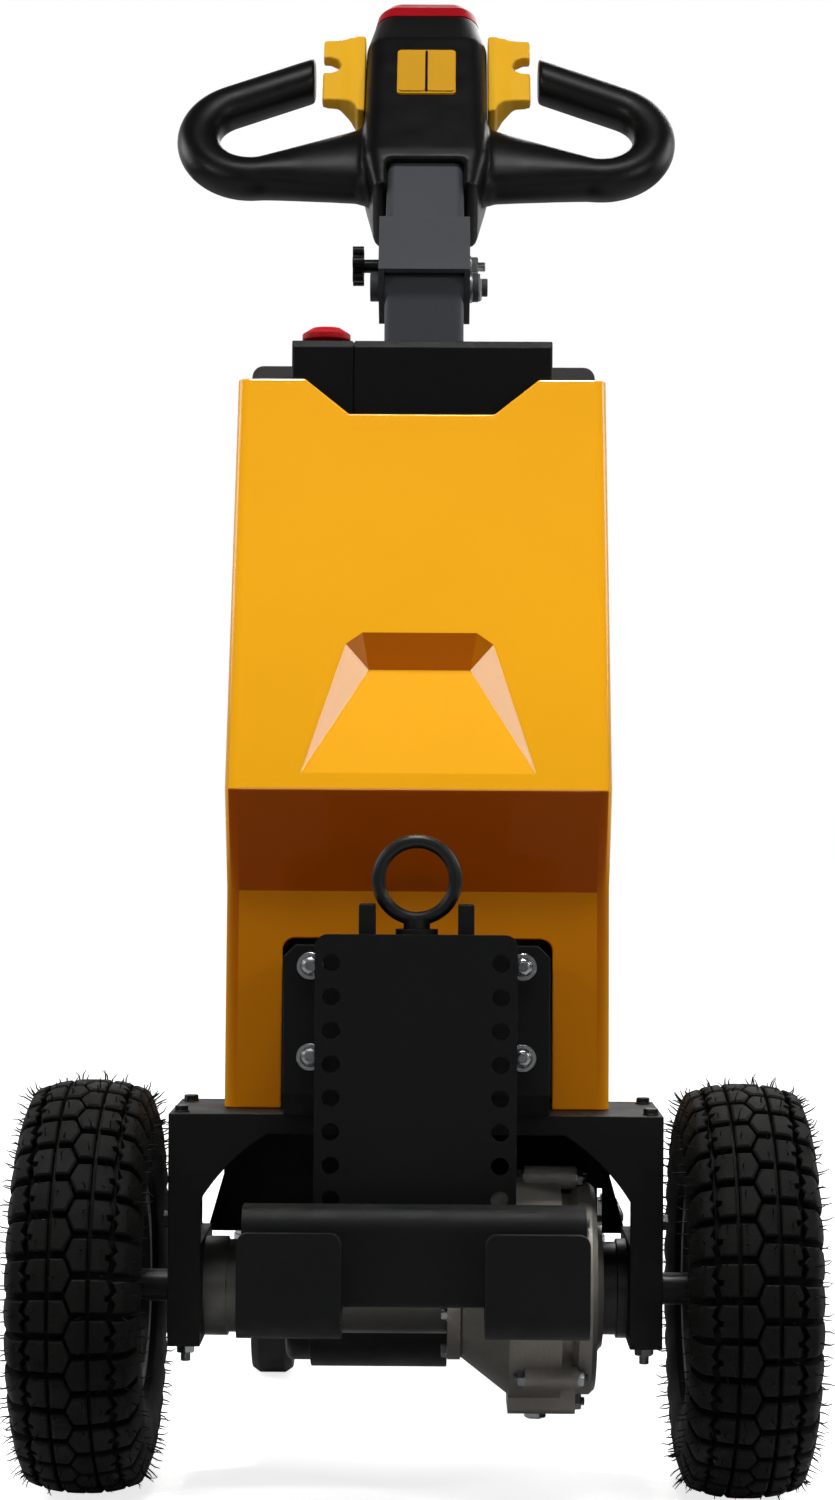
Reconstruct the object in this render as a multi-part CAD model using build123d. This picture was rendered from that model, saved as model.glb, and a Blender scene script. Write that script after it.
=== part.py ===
# Pedestrian electric tow tractor with two driven tyres, two swivel casters and a drop-pin hitch.
# Millimetres. +Z up, the hitch looks to -Y, the operator stands at +Y.
# Lengths along Y are given from the drive axle and moved to the middle of the machine at export.
import math
import os

from build123d import *

# Fits
RUN_GAP = 0.05
FIT_GAP = 0.3
SWING_GAP = 3.0

# Drive wheels
TYRE_R = 160.0
TYRE_W = 100.0
TRACK_X = 254.0
RIM_R = 76.0
RIM_LIP = 9.0
RIM_T = 6.0
DISC_T = 8.0
LUG_ROWS = 28
LUG_H = 12.0
LUG_SHARE = 0.8
LUG_EDGE = 7.0
LUG_TIP = 4.5
LUG_SLOPE = 8.0
BULGE_R = 114.0
BEAD_IN = 16.0
SHAFT_R = 12.5
SHAFT_IN = 40.0
SHAFT_OUT = 16.0
HUB_R = 20.0
HUB_IN = 26.0
HUB_OUT = 10.0
HUB_PLAY = 2.0
FLANGE_R = 38.0
FLANGE_T = 8.0
HAND_HOLES = 5
HAND_HOLE_R = 9.0

# Portal frame and deck
DECK_Z = 300.0
PORTAL_X = 189.0
PORTAL_FRONT = -60.0
PORTAL_REAR = 65.0
MEMBER_H = 15.0
LEG_W = 25.0
LEG_REAR_SET = 8.0
LEG_DROP = 38.0
BEARING_UP = 40.0
GUSSET = 52.0
GUSSET_SAG = 5.0
PLATE = 6.0
SHEET = 3.0
DECK_INSET = 5.0
DECK_REAR = 545.0
CHEEK_DROP = 106.0
APRON_WING = 10.0
APRON_FOOT = 4.0
APRON_BEND = 46.0
APRON_STEP = 36.0
APRON_IN = 55.0
APRON_OUT = 149.0

# Transaxle
TUBE_R = 36.0
COLLAR_STEP = 2.5
TUBE_BORE = 20.0
CASE_R = 86.0
CASE_IN = 72.0
CASE_SPLIT = 104.0
CASE_OUT = 145.0
CASE_STEP = 12.0
CASE_DRAFT = 4.0
NECK_X = 25.0
NECK_R = 46.0
NECK_RING = 10.0
MOTOR_R = 57.5
MOUTH_R = 50.0
MOTOR_Y = 100.0
MOTOR_DROP = 22.0
MOTOR_L = 110.0
MOTOR_CAP = 20.0
MOTOR_ROUND = 6.0
BOSS_R = 9.0
BOSS_L = 20.0
SPLIT_LIP = 8.0
NOSE_R = 59.0
NOSE_TIP_R = 45.0
SUMP_W = 60.0
SUMP_DROP = 8.0
SUMP_ROUND = 6.0
COLLAR_LEFT = 18.0
COLLAR_RIGHT = 8.0

# Battery
BATTERY_X = 240.0
BATTERY_Y = 185.0
BATTERY_H = 230.0
BATTERY_BACK = 25.0

# Casters
CASTER_R = 62.5
CASTER_W = 38.0
CASTER_X = 138.0
CASTER_Y = 477.0
CASTER_TRAIL = 38.0
CASTER_PLATE = 100.0
SHELF_FRONT = 68.0
CASTER_RISE = 6.0
CASTER_RACE = 15.0
RACE_R = 30.0
FORK_T = 5.0
FORK_GAP = 5.0
FORK_FRONT = 20.0
FORK_REAR = 26.0
FORK_EYE = 15.0
CASTER_BOLT = 6.0

# Cover and top
BODY_W = 300.0
COVER_TOP = 884.0
COVER_REAR = 285.0
COVER_ROUND = 10.0
FOOT_Y = -14.0
WAIST_Y = 0.0
WAIST_Z = 469.0
CREASE_Y = -35.0
CREASE_Z = 548.0
SLOPE_Y = 99.0
RECESS_D = 12.0
RECESS_TOP_W = 90.0
RECESS_MID_W = 116.0
RECESS_TIP_W = 182.0
RECESS_FLOOR_W = 80.0
RECESS_LOW = 14.0
RECESS_FLOOR = 107.0
RECESS_MID = 124.0
RECESS_HIGH = 134.0
CUT_W = 211.0
CUT_TOP = 432.0
DASH_W = 213.0
DASH_TOP = 917.0
DASH_LOW = 848.0
DASH_FRONT = 104.0
DASH_BEVEL = 6.0
SEAM_X = -56.0
SEAM_W = 1.5
NOTCH_TOP_W = 193.0
NOTCH_LOW_W = 118.0
NOTCH_D = 30.0
STOP_R = 20.0
STOP_X = -80.0
STOP_Y = 150.0
PANEL_TOP = 922.0

# Mast and tiller
MAST_W = 70.0
MAST_Y = 334.0
MAST_WALL = 4.0
MAST_ROUND = 8.0
FOOT_W = 140.0
FOOT_T = 8.0
FOOT_BACK = 40.0
RIB_H = 70.0
TIE_H = 40.0
TIE_UP = (180.0, 460.0)
PIVOT_Z = 1000.0
PIVOT_R = 8.0
LEAN_DEG = 35.0
CHEEK = 5.0
FORK_TOP = 45.0
FORK_LOW = 28.0
FORK_LIP = 20.0
ARM_TOP = 250.0
KNOB_UP = 26.0
KNOB_NECK = 14.0
KNOB_T = 10.0
KNOB_R = 12.0
KNOB_LOBE_R = 5.0
KNOB_LOBES = 6
HEAD_LOW = 90.0
HEAD_TOP = 338.0
SKIRT_FRONT = 120.0
SWELL_LOW = 132.0
SWELL_TOP = 290.0
HEAD_W = 113.0
HEAD_D = 84.0
GRIP_R = 20.0
GRIP_ROOT = 155.0
GRIP_ROOT_H = 88.0
GRIP_ROOT_D = 46.0
GRIP_BEND_X = 152.0
GRIP_BEND_S = 138.0
GRIP_BEND_R = 50.0
GRIP_TURN_DEG = 164.0
GRIP_END = 104.5
THROTTLE_W = 40.0
THROTTLE_D = 36.0
THROTTLE_LOW = 205.0
THROTTLE_TOP = 306.0
THROTTLE_ROUND = 6.0
THROTTLE_AHEAD = 6.0
WING_TIP = 7.0
WING_ROOT = 24.0
WING_UP = 19.0
NOTCH_R = 12.0
NOTCH_IN = 5.0
NOTCH_UP = 67.0
BELLY_H = 30.0
ROCKER_W = 54.0
ROCKER_LOW = 207.0
ROCKER_TOP = 270.0

# Hitch
BACK_W = 202.0
BACK_Y = -70.0
BACK_TOP = 430.0
BACK_BEND = 17.0
EAR_X = 37.0
EAR_T = 12.0
EAR_RISE = 37.0
EAR_CUT = 14.0
SHELF_LOW = 365.0
SHELF_T = 12.0
JAW_H = 48.0
TONGUE_W = 52.0
TONGUE_T = 24.0
TONGUE_BACK = 18.0
TONGUE_ROUND = 12.0
ADAPT_W = 150.0
ADAPT_T = 10.0
ADAPT_BACK = -122.0
ADAPT_TOP = 440.0
ADAPT_LOW = 165.0
ADAPT_ROUND = 9.0
HOLE_R = 6.75
HOLE_X = 62.7
HOLE_Z = 419.0
HOLE_PITCH = 25.0
HOLE_ROWS = 10
PIN_R = 10.0
PIN_Y = -100.0
PIN_COLLAR = 16.0
PIN_POINT = 4.0
RING_RISE = 55.0
RING_R = 28.9
RING_WIRE = 5.15
YOKE_W = 250.0
YOKE_T = 8.0
YOKE_TOP = 243.0
YOKE_LOW = 176.0
YOKE_WALL = -182.0
YOKE_BEND = 16.0
LIP_W = 74.0
LIP_FRONT = -240.0
LIP_TOP = 233.0
LIP_LOW = 157.0
LIP_ROUND = 8.0

# Derived
AXLE_Z = TYRE_R
LEG_IN = PORTAL_X - LEG_W
LEG_LOW = AXLE_Z - LEG_DROP
MEMBER_LOW = DECK_Z - MEMBER_H
MOTOR_Z = AXLE_Z - MOTOR_DROP
CROWN_Z = 2 * CASTER_R + CASTER_RISE
CASTER_H = CROWN_Z + PLATE + CASTER_RACE + PLATE
CASTER_WHEEL_Y = CASTER_Y + CASTER_TRAIL
FORK_IN = CASTER_W / 2 + FORK_GAP
FORK_OUT = FORK_IN + FORK_T
ADAPT_FRONT = ADAPT_BACK - ADAPT_T
SHELF_UP = SHELF_LOW + SHELF_T + JAW_H
EAR_TOP = SHELF_UP + EAR_RISE
RING_Z = SHELF_UP + RING_RISE
DECK_X = BODY_W / 2 - DECK_INSET
HALF = BODY_W / 2
CHEEK_IN = MAST_W / 2 + FIT_GAP
CHEEK_OUT = CHEEK_IN + CHEEK
Y_MID = (LIP_FRONT + CASTER_WHEEL_Y + CASTER_R) / 2


def block(x0, x1, y0, y1, z0, z1):
    return Pos((x0 + x1) / 2, (y0 + y1) / 2, (z0 + z1) / 2) * Box(x1 - x0, y1 - y0, z1 - z0)


def rod_x(r, x0, x1, y, z):
    return Pos((x0 + x1) / 2, y, z) * Cylinder(r, x1 - x0, rotation=(0, 90, 0))


def rod_y(r, y0, y1, x, z):
    return Pos(x, (y0 + y1) / 2, z) * Cylinder(r, y1 - y0, rotation=(90, 0, 0))


def rod_z(r, z0, z1, x, y):
    return Pos(x, y, (z0 + z1) / 2) * Cylinder(r, z1 - z0)


def across(face, x0, x1):
    # Face drawn in (y, z), drawn out along X
    plane = Plane(origin=(x0, 0, 0), x_dir=(0, 1, 0), z_dir=(1, 0, 0))
    return extrude(plane * face, amount=x1 - x0, dir=(1, 0, 0))


def along(face, y0, y1):
    # Face drawn in (x, z), drawn out along Y
    plane = Plane(origin=(0, y0, 0), x_dir=(1, 0, 0), z_dir=(0, -1, 0))
    return extrude(plane * face, amount=y1 - y0, dir=(0, 1, 0))


def side_plate(points, x0, x1):
    return across(Polygon(*points, align=None), x0, x1)


def front_plate(points, y0, y1):
    return along(Polygon(*points, align=None), y0, y1)


def turned(points):
    # Section in (x, radius) turned about the X axis
    return revolve(Polygon(*points, align=None), Axis.X)


def bent_sheet(points, thickness, bend, x0, x1):
    # Sheet folded along a line of points in (y, z), the inner radius of each fold is bend
    line = FilletPolyline(*points, radius=bend + thickness / 2)
    return across(make_face(offset(line, thickness / 2, side=Side.BOTH, kind=Kind.TANGENT)), x0, x1)


def left(shape):
    return mirror(shape, about=Plane.YZ)


def both(shape):
    return shape + left(shape)


nodes = {}


def pair(name, shape):
    nodes[name + "_right"] = shape
    nodes[name + "_left"] = left(shape)


# Drive tyre: carcass of flat facets, one per row, with interlocking tread blocks fused on
def tyre_carcass():
    crown = TYRE_R - LUG_H
    w = TYRE_W / 2
    # columns: distance from the middle plane, outer radius
    section = [(w - BEAD_IN, RIM_R + RIM_LIP + 1), (w, BULGE_R), (w - LUG_EDGE, crown)]
    section = section + [(-x, r) for x, r in reversed(section)]
    rings = []
    for x, r in section:
        plane = Plane(origin=(x, 0, 0), x_dir=(0, 0, 1), z_dir=(1, 0, 0))
        rings.append(plane * RegularPolygon(r, LUG_ROWS))
    return Rot(180 / LUG_ROWS, 0, 0) * loft(rings, ruled=True) - rod_x(RIM_R, -w, w, 0, 0)


def tread_block():
    # One half row: tapered past the middle so that both halves interlock, sloped off at the shoulder
    w = TYRE_W / 2
    length = LUG_SHARE * 2 * math.pi * TYRE_R / LUG_ROWS
    foot = TYRE_R - 1.6 * LUG_H
    edge = w - LUG_EDGE - 1
    tip = LUG_TIP
    half = length / 2
    rise = [(-tip, foot), (-tip, TYRE_R), (0.6 * edge, TYRE_R - 2), (edge, TYRE_R - LUG_SLOPE), (edge, foot)]
    plan = [(-tip, tip), (tip, half), (w, half), (w, -half), (tip, -half), (-tip, -tip)]
    wall = extrude(Plane.XZ * Polygon(*rise, align=None), amount=length, both=True)
    sole = extrude(Polygon(*plan, align=None), amount=2 * TYRE_R, both=True)
    return wall & sole


def drive_tyre():
    step = 360 / LUG_ROWS
    block_right = tread_block()
    block_left = Rot(step / 2, 0, 0) * left(block_right)
    blocks = []
    for row in range(LUG_ROWS):
        turn = Rot(row * step, 0, 0)
        blocks.append(turn * block_right)
        blocks.append(turn * block_left)
    return tyre_carcass().fuse(*blocks)


# Rim: rolled barrel with lips, dished disc and hand holes
def drive_rim():
    w = TYRE_W / 2 - BEAD_IN
    out = w + RIM_T
    r = RIM_R
    half = DISC_T / 2
    pts = [
        (w, r), (w, r + RIM_LIP), (out, r + RIM_LIP), (out, r - RIM_T),
        (half, r - 2 * RIM_T), (half, HUB_R + HUB_PLAY),
    ]
    rim = turned([(-x, a) for x, a in pts] + list(reversed(pts)))
    reach = (r - RIM_T + FLANGE_R) / 2 - RIM_T / 2
    hole = rod_x(HAND_HOLE_R, -out, out, 0, reach)
    holes = [Rot(360 / HAND_HOLES * k, 0, 0) * hole for k in range(HAND_HOLES)]
    return rim.cut(*holes)


# Half shaft: runs in the leg's bearing, its flange carries the rim's disc
def half_shaft():
    face = TRACK_X - DISC_T / 2
    end = TRACK_X + DISC_T / 2
    shaft = rod_x(SHAFT_R, LEG_IN - SHAFT_IN, end + SHAFT_OUT, 0, 0)
    flange = rod_x(FLANGE_R, face - FLANGE_T, face, 0, 0)
    hub = rod_x(HUB_R, face - HUB_IN, end + HUB_OUT, 0, 0)
    return shaft + flange + hub


pair("tyre", Pos(TRACK_X, 0, AXLE_Z) * drive_tyre())
pair("rim", Pos(TRACK_X, 0, AXLE_Z) * drive_rim())
pair("half_shaft", Pos(0, 0, AXLE_Z) * half_shaft())


# Portal frame: folded cross-member, two channel legs with bearing blocks, arched gussets, hitch stand
def portal_leg():
    web = block(PORTAL_X - PLATE, PORTAL_X, PORTAL_FRONT, PORTAL_REAR, LEG_LOW, MEMBER_LOW)
    front = block(LEG_IN, PORTAL_X, PORTAL_FRONT, PORTAL_FRONT + PLATE, LEG_LOW, MEMBER_LOW)
    rear = block(LEG_IN + LEG_REAR_SET, PORTAL_X, PORTAL_REAR - PLATE, PORTAL_REAR, LEG_LOW, MEMBER_LOW)
    bearing = block(LEG_IN, PORTAL_X, PORTAL_FRONT, PORTAL_REAR, LEG_LOW, AXLE_Z + BEARING_UP)
    return web + front + rear + bearing - rod_x(SHAFT_R + RUN_GAP, LEG_IN - 1, PORTAL_X + 1, 0, AXLE_Z)


def gusset(y0):
    # Triangle between leg and cross-member, hollowed by a shallow arc
    wedge = [(LEG_IN, MEMBER_LOW), (LEG_IN, MEMBER_LOW - GUSSET), (LEG_IN - GUSSET, MEMBER_LOW)]
    plate = front_plate(wedge, y0, y0 + PLATE)
    r = 3 * GUSSET
    away = GUSSET / 2 + (r - GUSSET_SAG) / math.sqrt(2)
    return plate - rod_y(r, y0 - 1, y0 + PLATE + 1, LEG_IN - away, MEMBER_LOW - away)


def portal_frame():
    top = block(-PORTAL_X, PORTAL_X, PORTAL_FRONT, PORTAL_REAR, DECK_Z - PLATE, DECK_Z)
    fold = block(-PORTAL_X, PORTAL_X, PORTAL_FRONT, PORTAL_FRONT + PLATE, MEMBER_LOW, DECK_Z - PLATE)
    hem = block(-PORTAL_X, PORTAL_X, PORTAL_REAR - PLATE, PORTAL_REAR, MEMBER_LOW, DECK_Z - PLATE)
    end = block(PORTAL_X - PLATE, PORTAL_X, PORTAL_FRONT, PORTAL_REAR, MEMBER_LOW, DECK_Z - PLATE)
    frame = top + fold + hem + both(end + portal_leg() + gusset(PORTAL_FRONT))
    back_low = DECK_Z + BACK_BEND
    back_high = BACK_TOP - PLATE
    side = [
        (BACK_Y, back_low), (PORTAL_FRONT, DECK_Z), (PORTAL_REAR - 5 * PLATE, DECK_Z),
        (WAIST_Y - 3 * PLATE, back_high), (BACK_Y, back_high),
    ]
    outer = BACK_W / 2 - 1.5 * PLATE
    frame += both(side_plate(side, outer - PLATE, outer))
    return frame + block(-outer, outer, BACK_Y, BACK_Y + PLATE, back_low, back_high)


# Rear deck: folded tray, side cheeks that drop to the caster shelf, closed tail
def rear_deck():
    shelf_y = CASTER_Y - SHELF_FRONT
    under = DECK_Z - PLATE
    low = DECK_Z - CHEEK_DROP
    tray = block(-DECK_X, DECK_X, PORTAL_REAR, DECK_REAR, under, DECK_Z)
    cheek = [
        (PORTAL_REAR, under), (PORTAL_REAR, low), (shelf_y - CASTER_PLATE, low),
        (shelf_y, CASTER_H), (DECK_REAR, CASTER_H), (DECK_REAR, under),
    ]
    sides = both(side_plate(cheek, DECK_X - PLATE, DECK_X))
    span = max(CASTER_X + CASTER_PLATE / 2, DECK_X)
    shelf = block(-span, span, shelf_y, DECK_REAR, CASTER_H, CASTER_H + PLATE)
    shelf = fillet(shelf.edges().filter_by(Axis.Z), 2 * PLATE)
    tail = block(-DECK_X, DECK_X, DECK_REAR - PLATE, DECK_REAR, CASTER_H + PLATE, under)
    # Apron behind the axle with feet spread towards the legs, open on the right for the gear casing
    wing = DECK_X + APRON_WING
    foot = LEG_IN + APRON_FOOT
    bend = low + APRON_BEND
    step = low + APRON_STEP
    apron = [
        (-wing, under), (-wing, bend), (-foot, low), (APRON_IN, low), (APRON_IN, step),
        (APRON_OUT, step), (APRON_OUT, low), (foot, low), (wing, bend), (wing, under),
    ]
    return tray + sides + shelf + tail + front_plate(apron, PORTAL_REAR, PORTAL_REAR + PLATE)


nodes["portal_frame"] = portal_frame()
nodes["rear_deck"] = rear_deck()


# Transaxle: two-part gear casing, axle tubes, motor lying behind the axle
def casing(x0, x1, grow):
    small = MOUTH_R + grow
    circles = Circle(CASE_R + grow).edges() + (Pos(MOTOR_Y, -MOTOR_DROP) * Circle(small)).edges()
    return Pos(0, 0, AXLE_Z) * across(make_hull(circles), x0, x1)


def case_bosses(x0, x1):
    # columns: angle about the axle, seen from the right, counted from the rear
    angles = [60, 97, 138, 180, 222, 268, 312]
    reach = CASE_R + CASE_DRAFT / 2
    rods = []
    for a in angles:
        t = math.radians(a)
        rods.append(rod_x(BOSS_R, x0, x1, reach * math.cos(t), AXLE_Z + reach * math.sin(t)))
    return rods


def sump(x0, x1):
    # Flat-bottomed foot below the casing for the drain plug
    foot = block(x0, x1, -SUMP_W / 2, SUMP_W / 2, AXLE_Z - CASE_R - SUMP_DROP, AXLE_Z)
    return fillet(foot.edges().filter_by(Axis.X), SUMP_ROUND)


def gear_case():
    body = casing(CASE_IN, CASE_SPLIT, 0)
    neck_l = CASE_IN - NECK_X
    neck = Cone(NECK_R, CASE_R - CASE_DRAFT, neck_l, rotation=(0, 90, 0))
    neck = Pos(NECK_X + neck_l / 2, 0, AXLE_Z) * neck
    ring = rod_x(NECK_R + NECK_RING, NECK_X, NECK_X + NECK_RING, 0, AXLE_Z)
    mouth = rod_x(MOUTH_R, NECK_X, CASE_IN, MOTOR_Y, MOTOR_Z)
    bosses = case_bosses(CASE_SPLIT - BOSS_L, CASE_SPLIT)
    body = body.fuse(neck, ring, mouth, sump(CASE_IN, CASE_SPLIT), *bosses)
    return body - rod_x(TUBE_BORE, 0, CASE_SPLIT + 1, 0, AXLE_Z)


def gear_cover():
    lip = CASE_SPLIT + SPLIT_LIP
    inner = CASE_OUT - CASE_STEP
    flange = casing(CASE_SPLIT, lip, 0)
    dome = casing(lip, inner, -CASE_STEP)
    nose = Cone(NOSE_R, NOSE_TIP_R, CASE_STEP, rotation=(0, 90, 0))
    nose = Pos((inner + CASE_OUT) / 2, 0, AXLE_Z) * nose
    end = rod_x(CASE_R - CASE_DRAFT, inner - CASE_STEP, inner + CASE_STEP / 2, 0, AXLE_Z)
    end = chamfer(end.edges().filter_by(GeomType.CIRCLE), CASE_DRAFT)
    bosses = case_bosses(CASE_SPLIT, CASE_SPLIT + BOSS_L)
    cover = flange.fuse(dome, nose, end, sump(CASE_SPLIT, lip + CASE_STEP), *bosses)
    return cover - rod_x(TUBE_BORE, CASE_SPLIT - 1, CASE_OUT + 1, 0, AXLE_Z)


def axle_tube(x0, x1, collar):
    # Tube with a stepped collar where it is bolted to the leg
    tube = rod_x(TUBE_R, x0, x1, 0, AXLE_Z)
    end = min(x0, x1, key=lambda x: abs(abs(x) - LEG_IN))
    side = 1 if end < 0 else -1
    x2 = end + side * collar
    tube += rod_x(TUBE_R + COLLAR_STEP, min(end, x2), max(end, x2), 0, AXLE_Z)
    return tube - rod_x(TUBE_BORE, x0 - 1, x1 + 1, 0, AXLE_Z)


def motor():
    x1 = NECK_X
    x0 = x1 - MOTOR_L
    can = rod_x(MOTOR_R, x0, x1, MOTOR_Y, MOTOR_Z)
    cap = rod_x(MOTOR_R - 5, x0 - MOTOR_CAP, x0, MOTOR_Y, MOTOR_Z)
    cap = fillet(cap.edges().group_by(Axis.X)[0], MOTOR_ROUND)
    return can + cap


def battery():
    x = BATTERY_X / 2
    rear = COVER_REAR - BATTERY_BACK
    return block(-x, x, rear - BATTERY_Y, rear, DECK_Z, DECK_Z + BATTERY_H)


nodes["gear_case"] = gear_case()
nodes["gear_cover"] = gear_cover()
nodes["axle_tube_left"] = axle_tube(-LEG_IN, NECK_X, COLLAR_LEFT)
nodes["axle_tube_right"] = axle_tube(CASE_OUT, LEG_IN, COLLAR_RIGHT)
nodes["motor"] = motor()
nodes["battery"] = battery()


# Casters: top plate with raceway, pressed fork, axle bolt, treaded wheel
def caster_plate():
    h = CASTER_PLATE / 2
    plate = block(CASTER_X - h, CASTER_X + h, CASTER_Y - h, CASTER_Y + h, CASTER_H - PLATE, CASTER_H)
    plate = fillet(plate.edges().filter_by(Axis.Z), PLATE)
    crown_top = CROWN_Z + PLATE + FIT_GAP
    race_h = CASTER_H - PLATE - crown_top
    race = Pos(CASTER_X, CASTER_Y, crown_top + race_h / 2) * Cone(RACE_R + FORK_T, RACE_R, race_h)
    return plate + race


def caster_fork():
    top = CROWN_Z + PLATE
    y0 = CASTER_Y
    y1 = CASTER_WHEEL_Y
    crown = rod_z(RACE_R + 6, CROWN_Z, top, CASTER_X, y0)
    front = y0 - FORK_FRONT
    rear = y0 + FORK_REAR
    crown += block(CASTER_X - FORK_OUT, CASTER_X + FORK_OUT, front, rear, CROWN_Z, top)
    cheek = [
        (front, top), (rear, top), (y1 + FORK_EYE, CASTER_R), (y1 - FORK_EYE, CASTER_R),
        (front, CROWN_Z - FORK_EYE),
    ]
    leg = side_plate(cheek, FORK_IN, FORK_OUT) + rod_x(FORK_EYE, FORK_IN, FORK_OUT, y1, CASTER_R)
    leg -= rod_x(CASTER_BOLT + RUN_GAP, FORK_IN - 1, FORK_OUT + 1, y1, CASTER_R)
    return crown + Pos(CASTER_X, 0, 0) * both(leg)


def caster_axle():
    bolt = rod_x(CASTER_BOLT, -FORK_OUT, FORK_OUT, CASTER_WHEEL_Y, CASTER_R)
    head = rod_x(1.7 * CASTER_BOLT, FORK_OUT, FORK_OUT + CASTER_BOLT, CASTER_WHEEL_Y, CASTER_R)
    return Pos(CASTER_X, 0, 0) * (bolt + both(head))


def caster_wheel():
    r = CASTER_R
    w = CASTER_W / 2
    hub = 2.5 * CASTER_BOLT
    bore = CASTER_BOLT + RUN_GAP
    end = FORK_IN - FIT_GAP
    pts = [(end, bore), (end, hub), (w - 6, hub + 2), (w - 6, r - 16), (w, r - 12), (w, r - 5), (w - 7, r)]
    wheel = turned([(-x, a) for x, a in pts] + list(reversed(pts)))
    return Pos(CASTER_X, CASTER_WHEEL_Y, CASTER_R) * wheel


pair("caster_plate", caster_plate())
pair("caster_fork", caster_fork())
pair("caster_axle", caster_axle())
pair("caster_wheel", caster_wheel())


# Cover: folded sheet shell, open below and behind, with a hitch cut-out and a wedge-shaped recess
def cover_solid(t):
    # t is how far the skin lies inside the outer face
    over = 1 if t else 0
    # columns: y, z, inward move along y and along z for each millimetre of t
    corners = [
        (FOOT_Y, DECK_Z - over, 1, 0),
        (WAIST_Y, WAIST_Z, 1.25, 0.2),
        (CREASE_Y, CREASE_Z, 1.35, 0.35),
        (SLOPE_Y, COVER_TOP, 0.7, -1),
        (COVER_REAR + over, COVER_TOP, 0, -1),
        (COVER_REAR + over, DECK_Z - over, 0, 0),
    ]
    solid = side_plate([(y + dy * t, z + dz * t) for y, z, dy, dz in corners], t - HALF, HALF - t)
    rim = []
    for edge in solid.edges():
        middle = edge.center()
        if abs(abs(middle.X) - HALF + t) < 0.01 and middle.Y < SLOPE_Y - 1:
            rim.append(edge)
    return fillet(rim, COVER_ROUND - 0.7 * t)


def recess(g):
    # Wedge let into the slanted face, deepest under its upper edge, running out to two points below
    dy = SLOPE_Y - CREASE_Y
    dz = COVER_TOP - CREASE_Z
    run = math.hypot(dy, dz)

    def at(width, v, depth):
        y = CREASE_Y + (dy * v + dz * depth) / run
        z = CREASE_Z + (dz * v - dy * depth) / run
        return [Vector(width / 2 + g, y, z), Vector(-width / 2 - g, y, z)]

    tip = at(RECESS_TIP_W, RECESS_LOW - g, 0)
    mid = at(RECESS_MID_W, RECESS_MID, 0)
    top = at(RECESS_TOP_W, RECESS_HIGH + g, 0)
    floor = at(RECESS_FLOOR_W, RECESS_FLOOR + g, RECESS_D + g)
    rings = [
        [tip[1], tip[0], mid[0], top[0], top[1], mid[1]],
        [tip[1], tip[0], floor[0], floor[1]],
        [top[0], top[1], floor[1], floor[0]],
    ]
    for k in (0, 1):
        rings.append([tip[k], mid[k], floor[k]])
        rings.append([mid[k], top[k], floor[k]])
    return Solid(Shell([Face(Wire.make_polygon(ring, close=True)) for ring in rings]))


def body_cover():
    shell = (cover_solid(0) - recess(0)) - (cover_solid(SHEET) - recess(SHEET))
    cut = Pos(0, (DECK_Z + CUT_TOP) / 2) * RectangleRounded(CUT_W, CUT_TOP - DECK_Z, COVER_ROUND)
    shell -= along(cut, CREASE_Y - 1, WAIST_Y + 1)
    shell -= block(-CUT_W / 2, CUT_W / 2, CREASE_Y, WAIST_Y, DECK_Z - 1, (DECK_Z + CUT_TOP) / 2)
    low = COVER_TOP - NOTCH_D
    top = COVER_TOP + 1
    notch = [(-NOTCH_TOP_W / 2, top), (-NOTCH_LOW_W / 2, low), (NOTCH_LOW_W / 2, low), (NOTCH_TOP_W / 2, top)]
    shell -= front_plate(notch, CREASE_Y, DASH_FRONT)
    side = DASH_W / 2 + FIT_GAP
    return shell - block(-side, side, DASH_FRONT - FIT_GAP, COVER_REAR + 1, COVER_TOP - NOTCH_D, top)


# Dashboard: moulded box let into the cover's top, bevelled along its front edge
def dashboard():
    w = DASH_W / 2
    side = [
        (DASH_FRONT, DASH_LOW), (DASH_FRONT, DASH_TOP - DASH_BEVEL), (DASH_FRONT + DASH_BEVEL, DASH_TOP),
        (COVER_REAR, DASH_TOP), (COVER_REAR, DASH_LOW),
    ]
    box = fillet(side_plate(side, -w, w).edges().filter_by(Axis.Z), DASH_BEVEL / 2)
    # Seam between the stop button's block and the rest, over the front and the top
    x0 = SEAM_X - SEAM_W / 2
    x1 = SEAM_X + SEAM_W / 2
    seam = block(x0, x1, DASH_FRONT - 1, DASH_FRONT + SEAM_W, DASH_LOW, DASH_TOP)
    seam += block(x0, x1, DASH_FRONT - 1, COVER_REAR, DASH_TOP - SEAM_W, DASH_TOP + 1)
    return box - seam


# Stop button: mushroom head on a collar
def stop_button():
    neck = 0.75 * STOP_R
    # columns: radius, height above the dashboard
    section = [(0, 0), (neck, 0), (neck, 4), (STOP_R, 6), (STOP_R, 11), (0.6 * STOP_R, 16), (0, 17)]
    button = revolve(Plane.XZ * Polygon(*section, align=None), Axis.Z)
    return Pos(STOP_X, STOP_Y, DASH_TOP) * button


def rear_panel():
    face = Pos(0, (DECK_Z + PANEL_TOP) / 2) * RectangleRounded(BODY_W, PANEL_TOP - DECK_Z, COVER_ROUND)
    return along(face, COVER_REAR, COVER_REAR + PLATE)


nodes["body_cover"] = body_cover()
nodes["dashboard"] = dashboard()
nodes["stop_button"] = stop_button()
nodes["rear_panel"] = rear_panel()


# Mast: square tube on a foot plate behind the rear panel, round top for the tilting fork
def square_tube(width, wall, z0, z1):
    outer = RectangleRounded(width, width, MAST_ROUND)
    inner = RectangleRounded(width - 2 * wall, width - 2 * wall, MAST_ROUND - wall)
    return Pos(0, 0, z0) * extrude(outer - inner, amount=z1 - z0)


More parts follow.
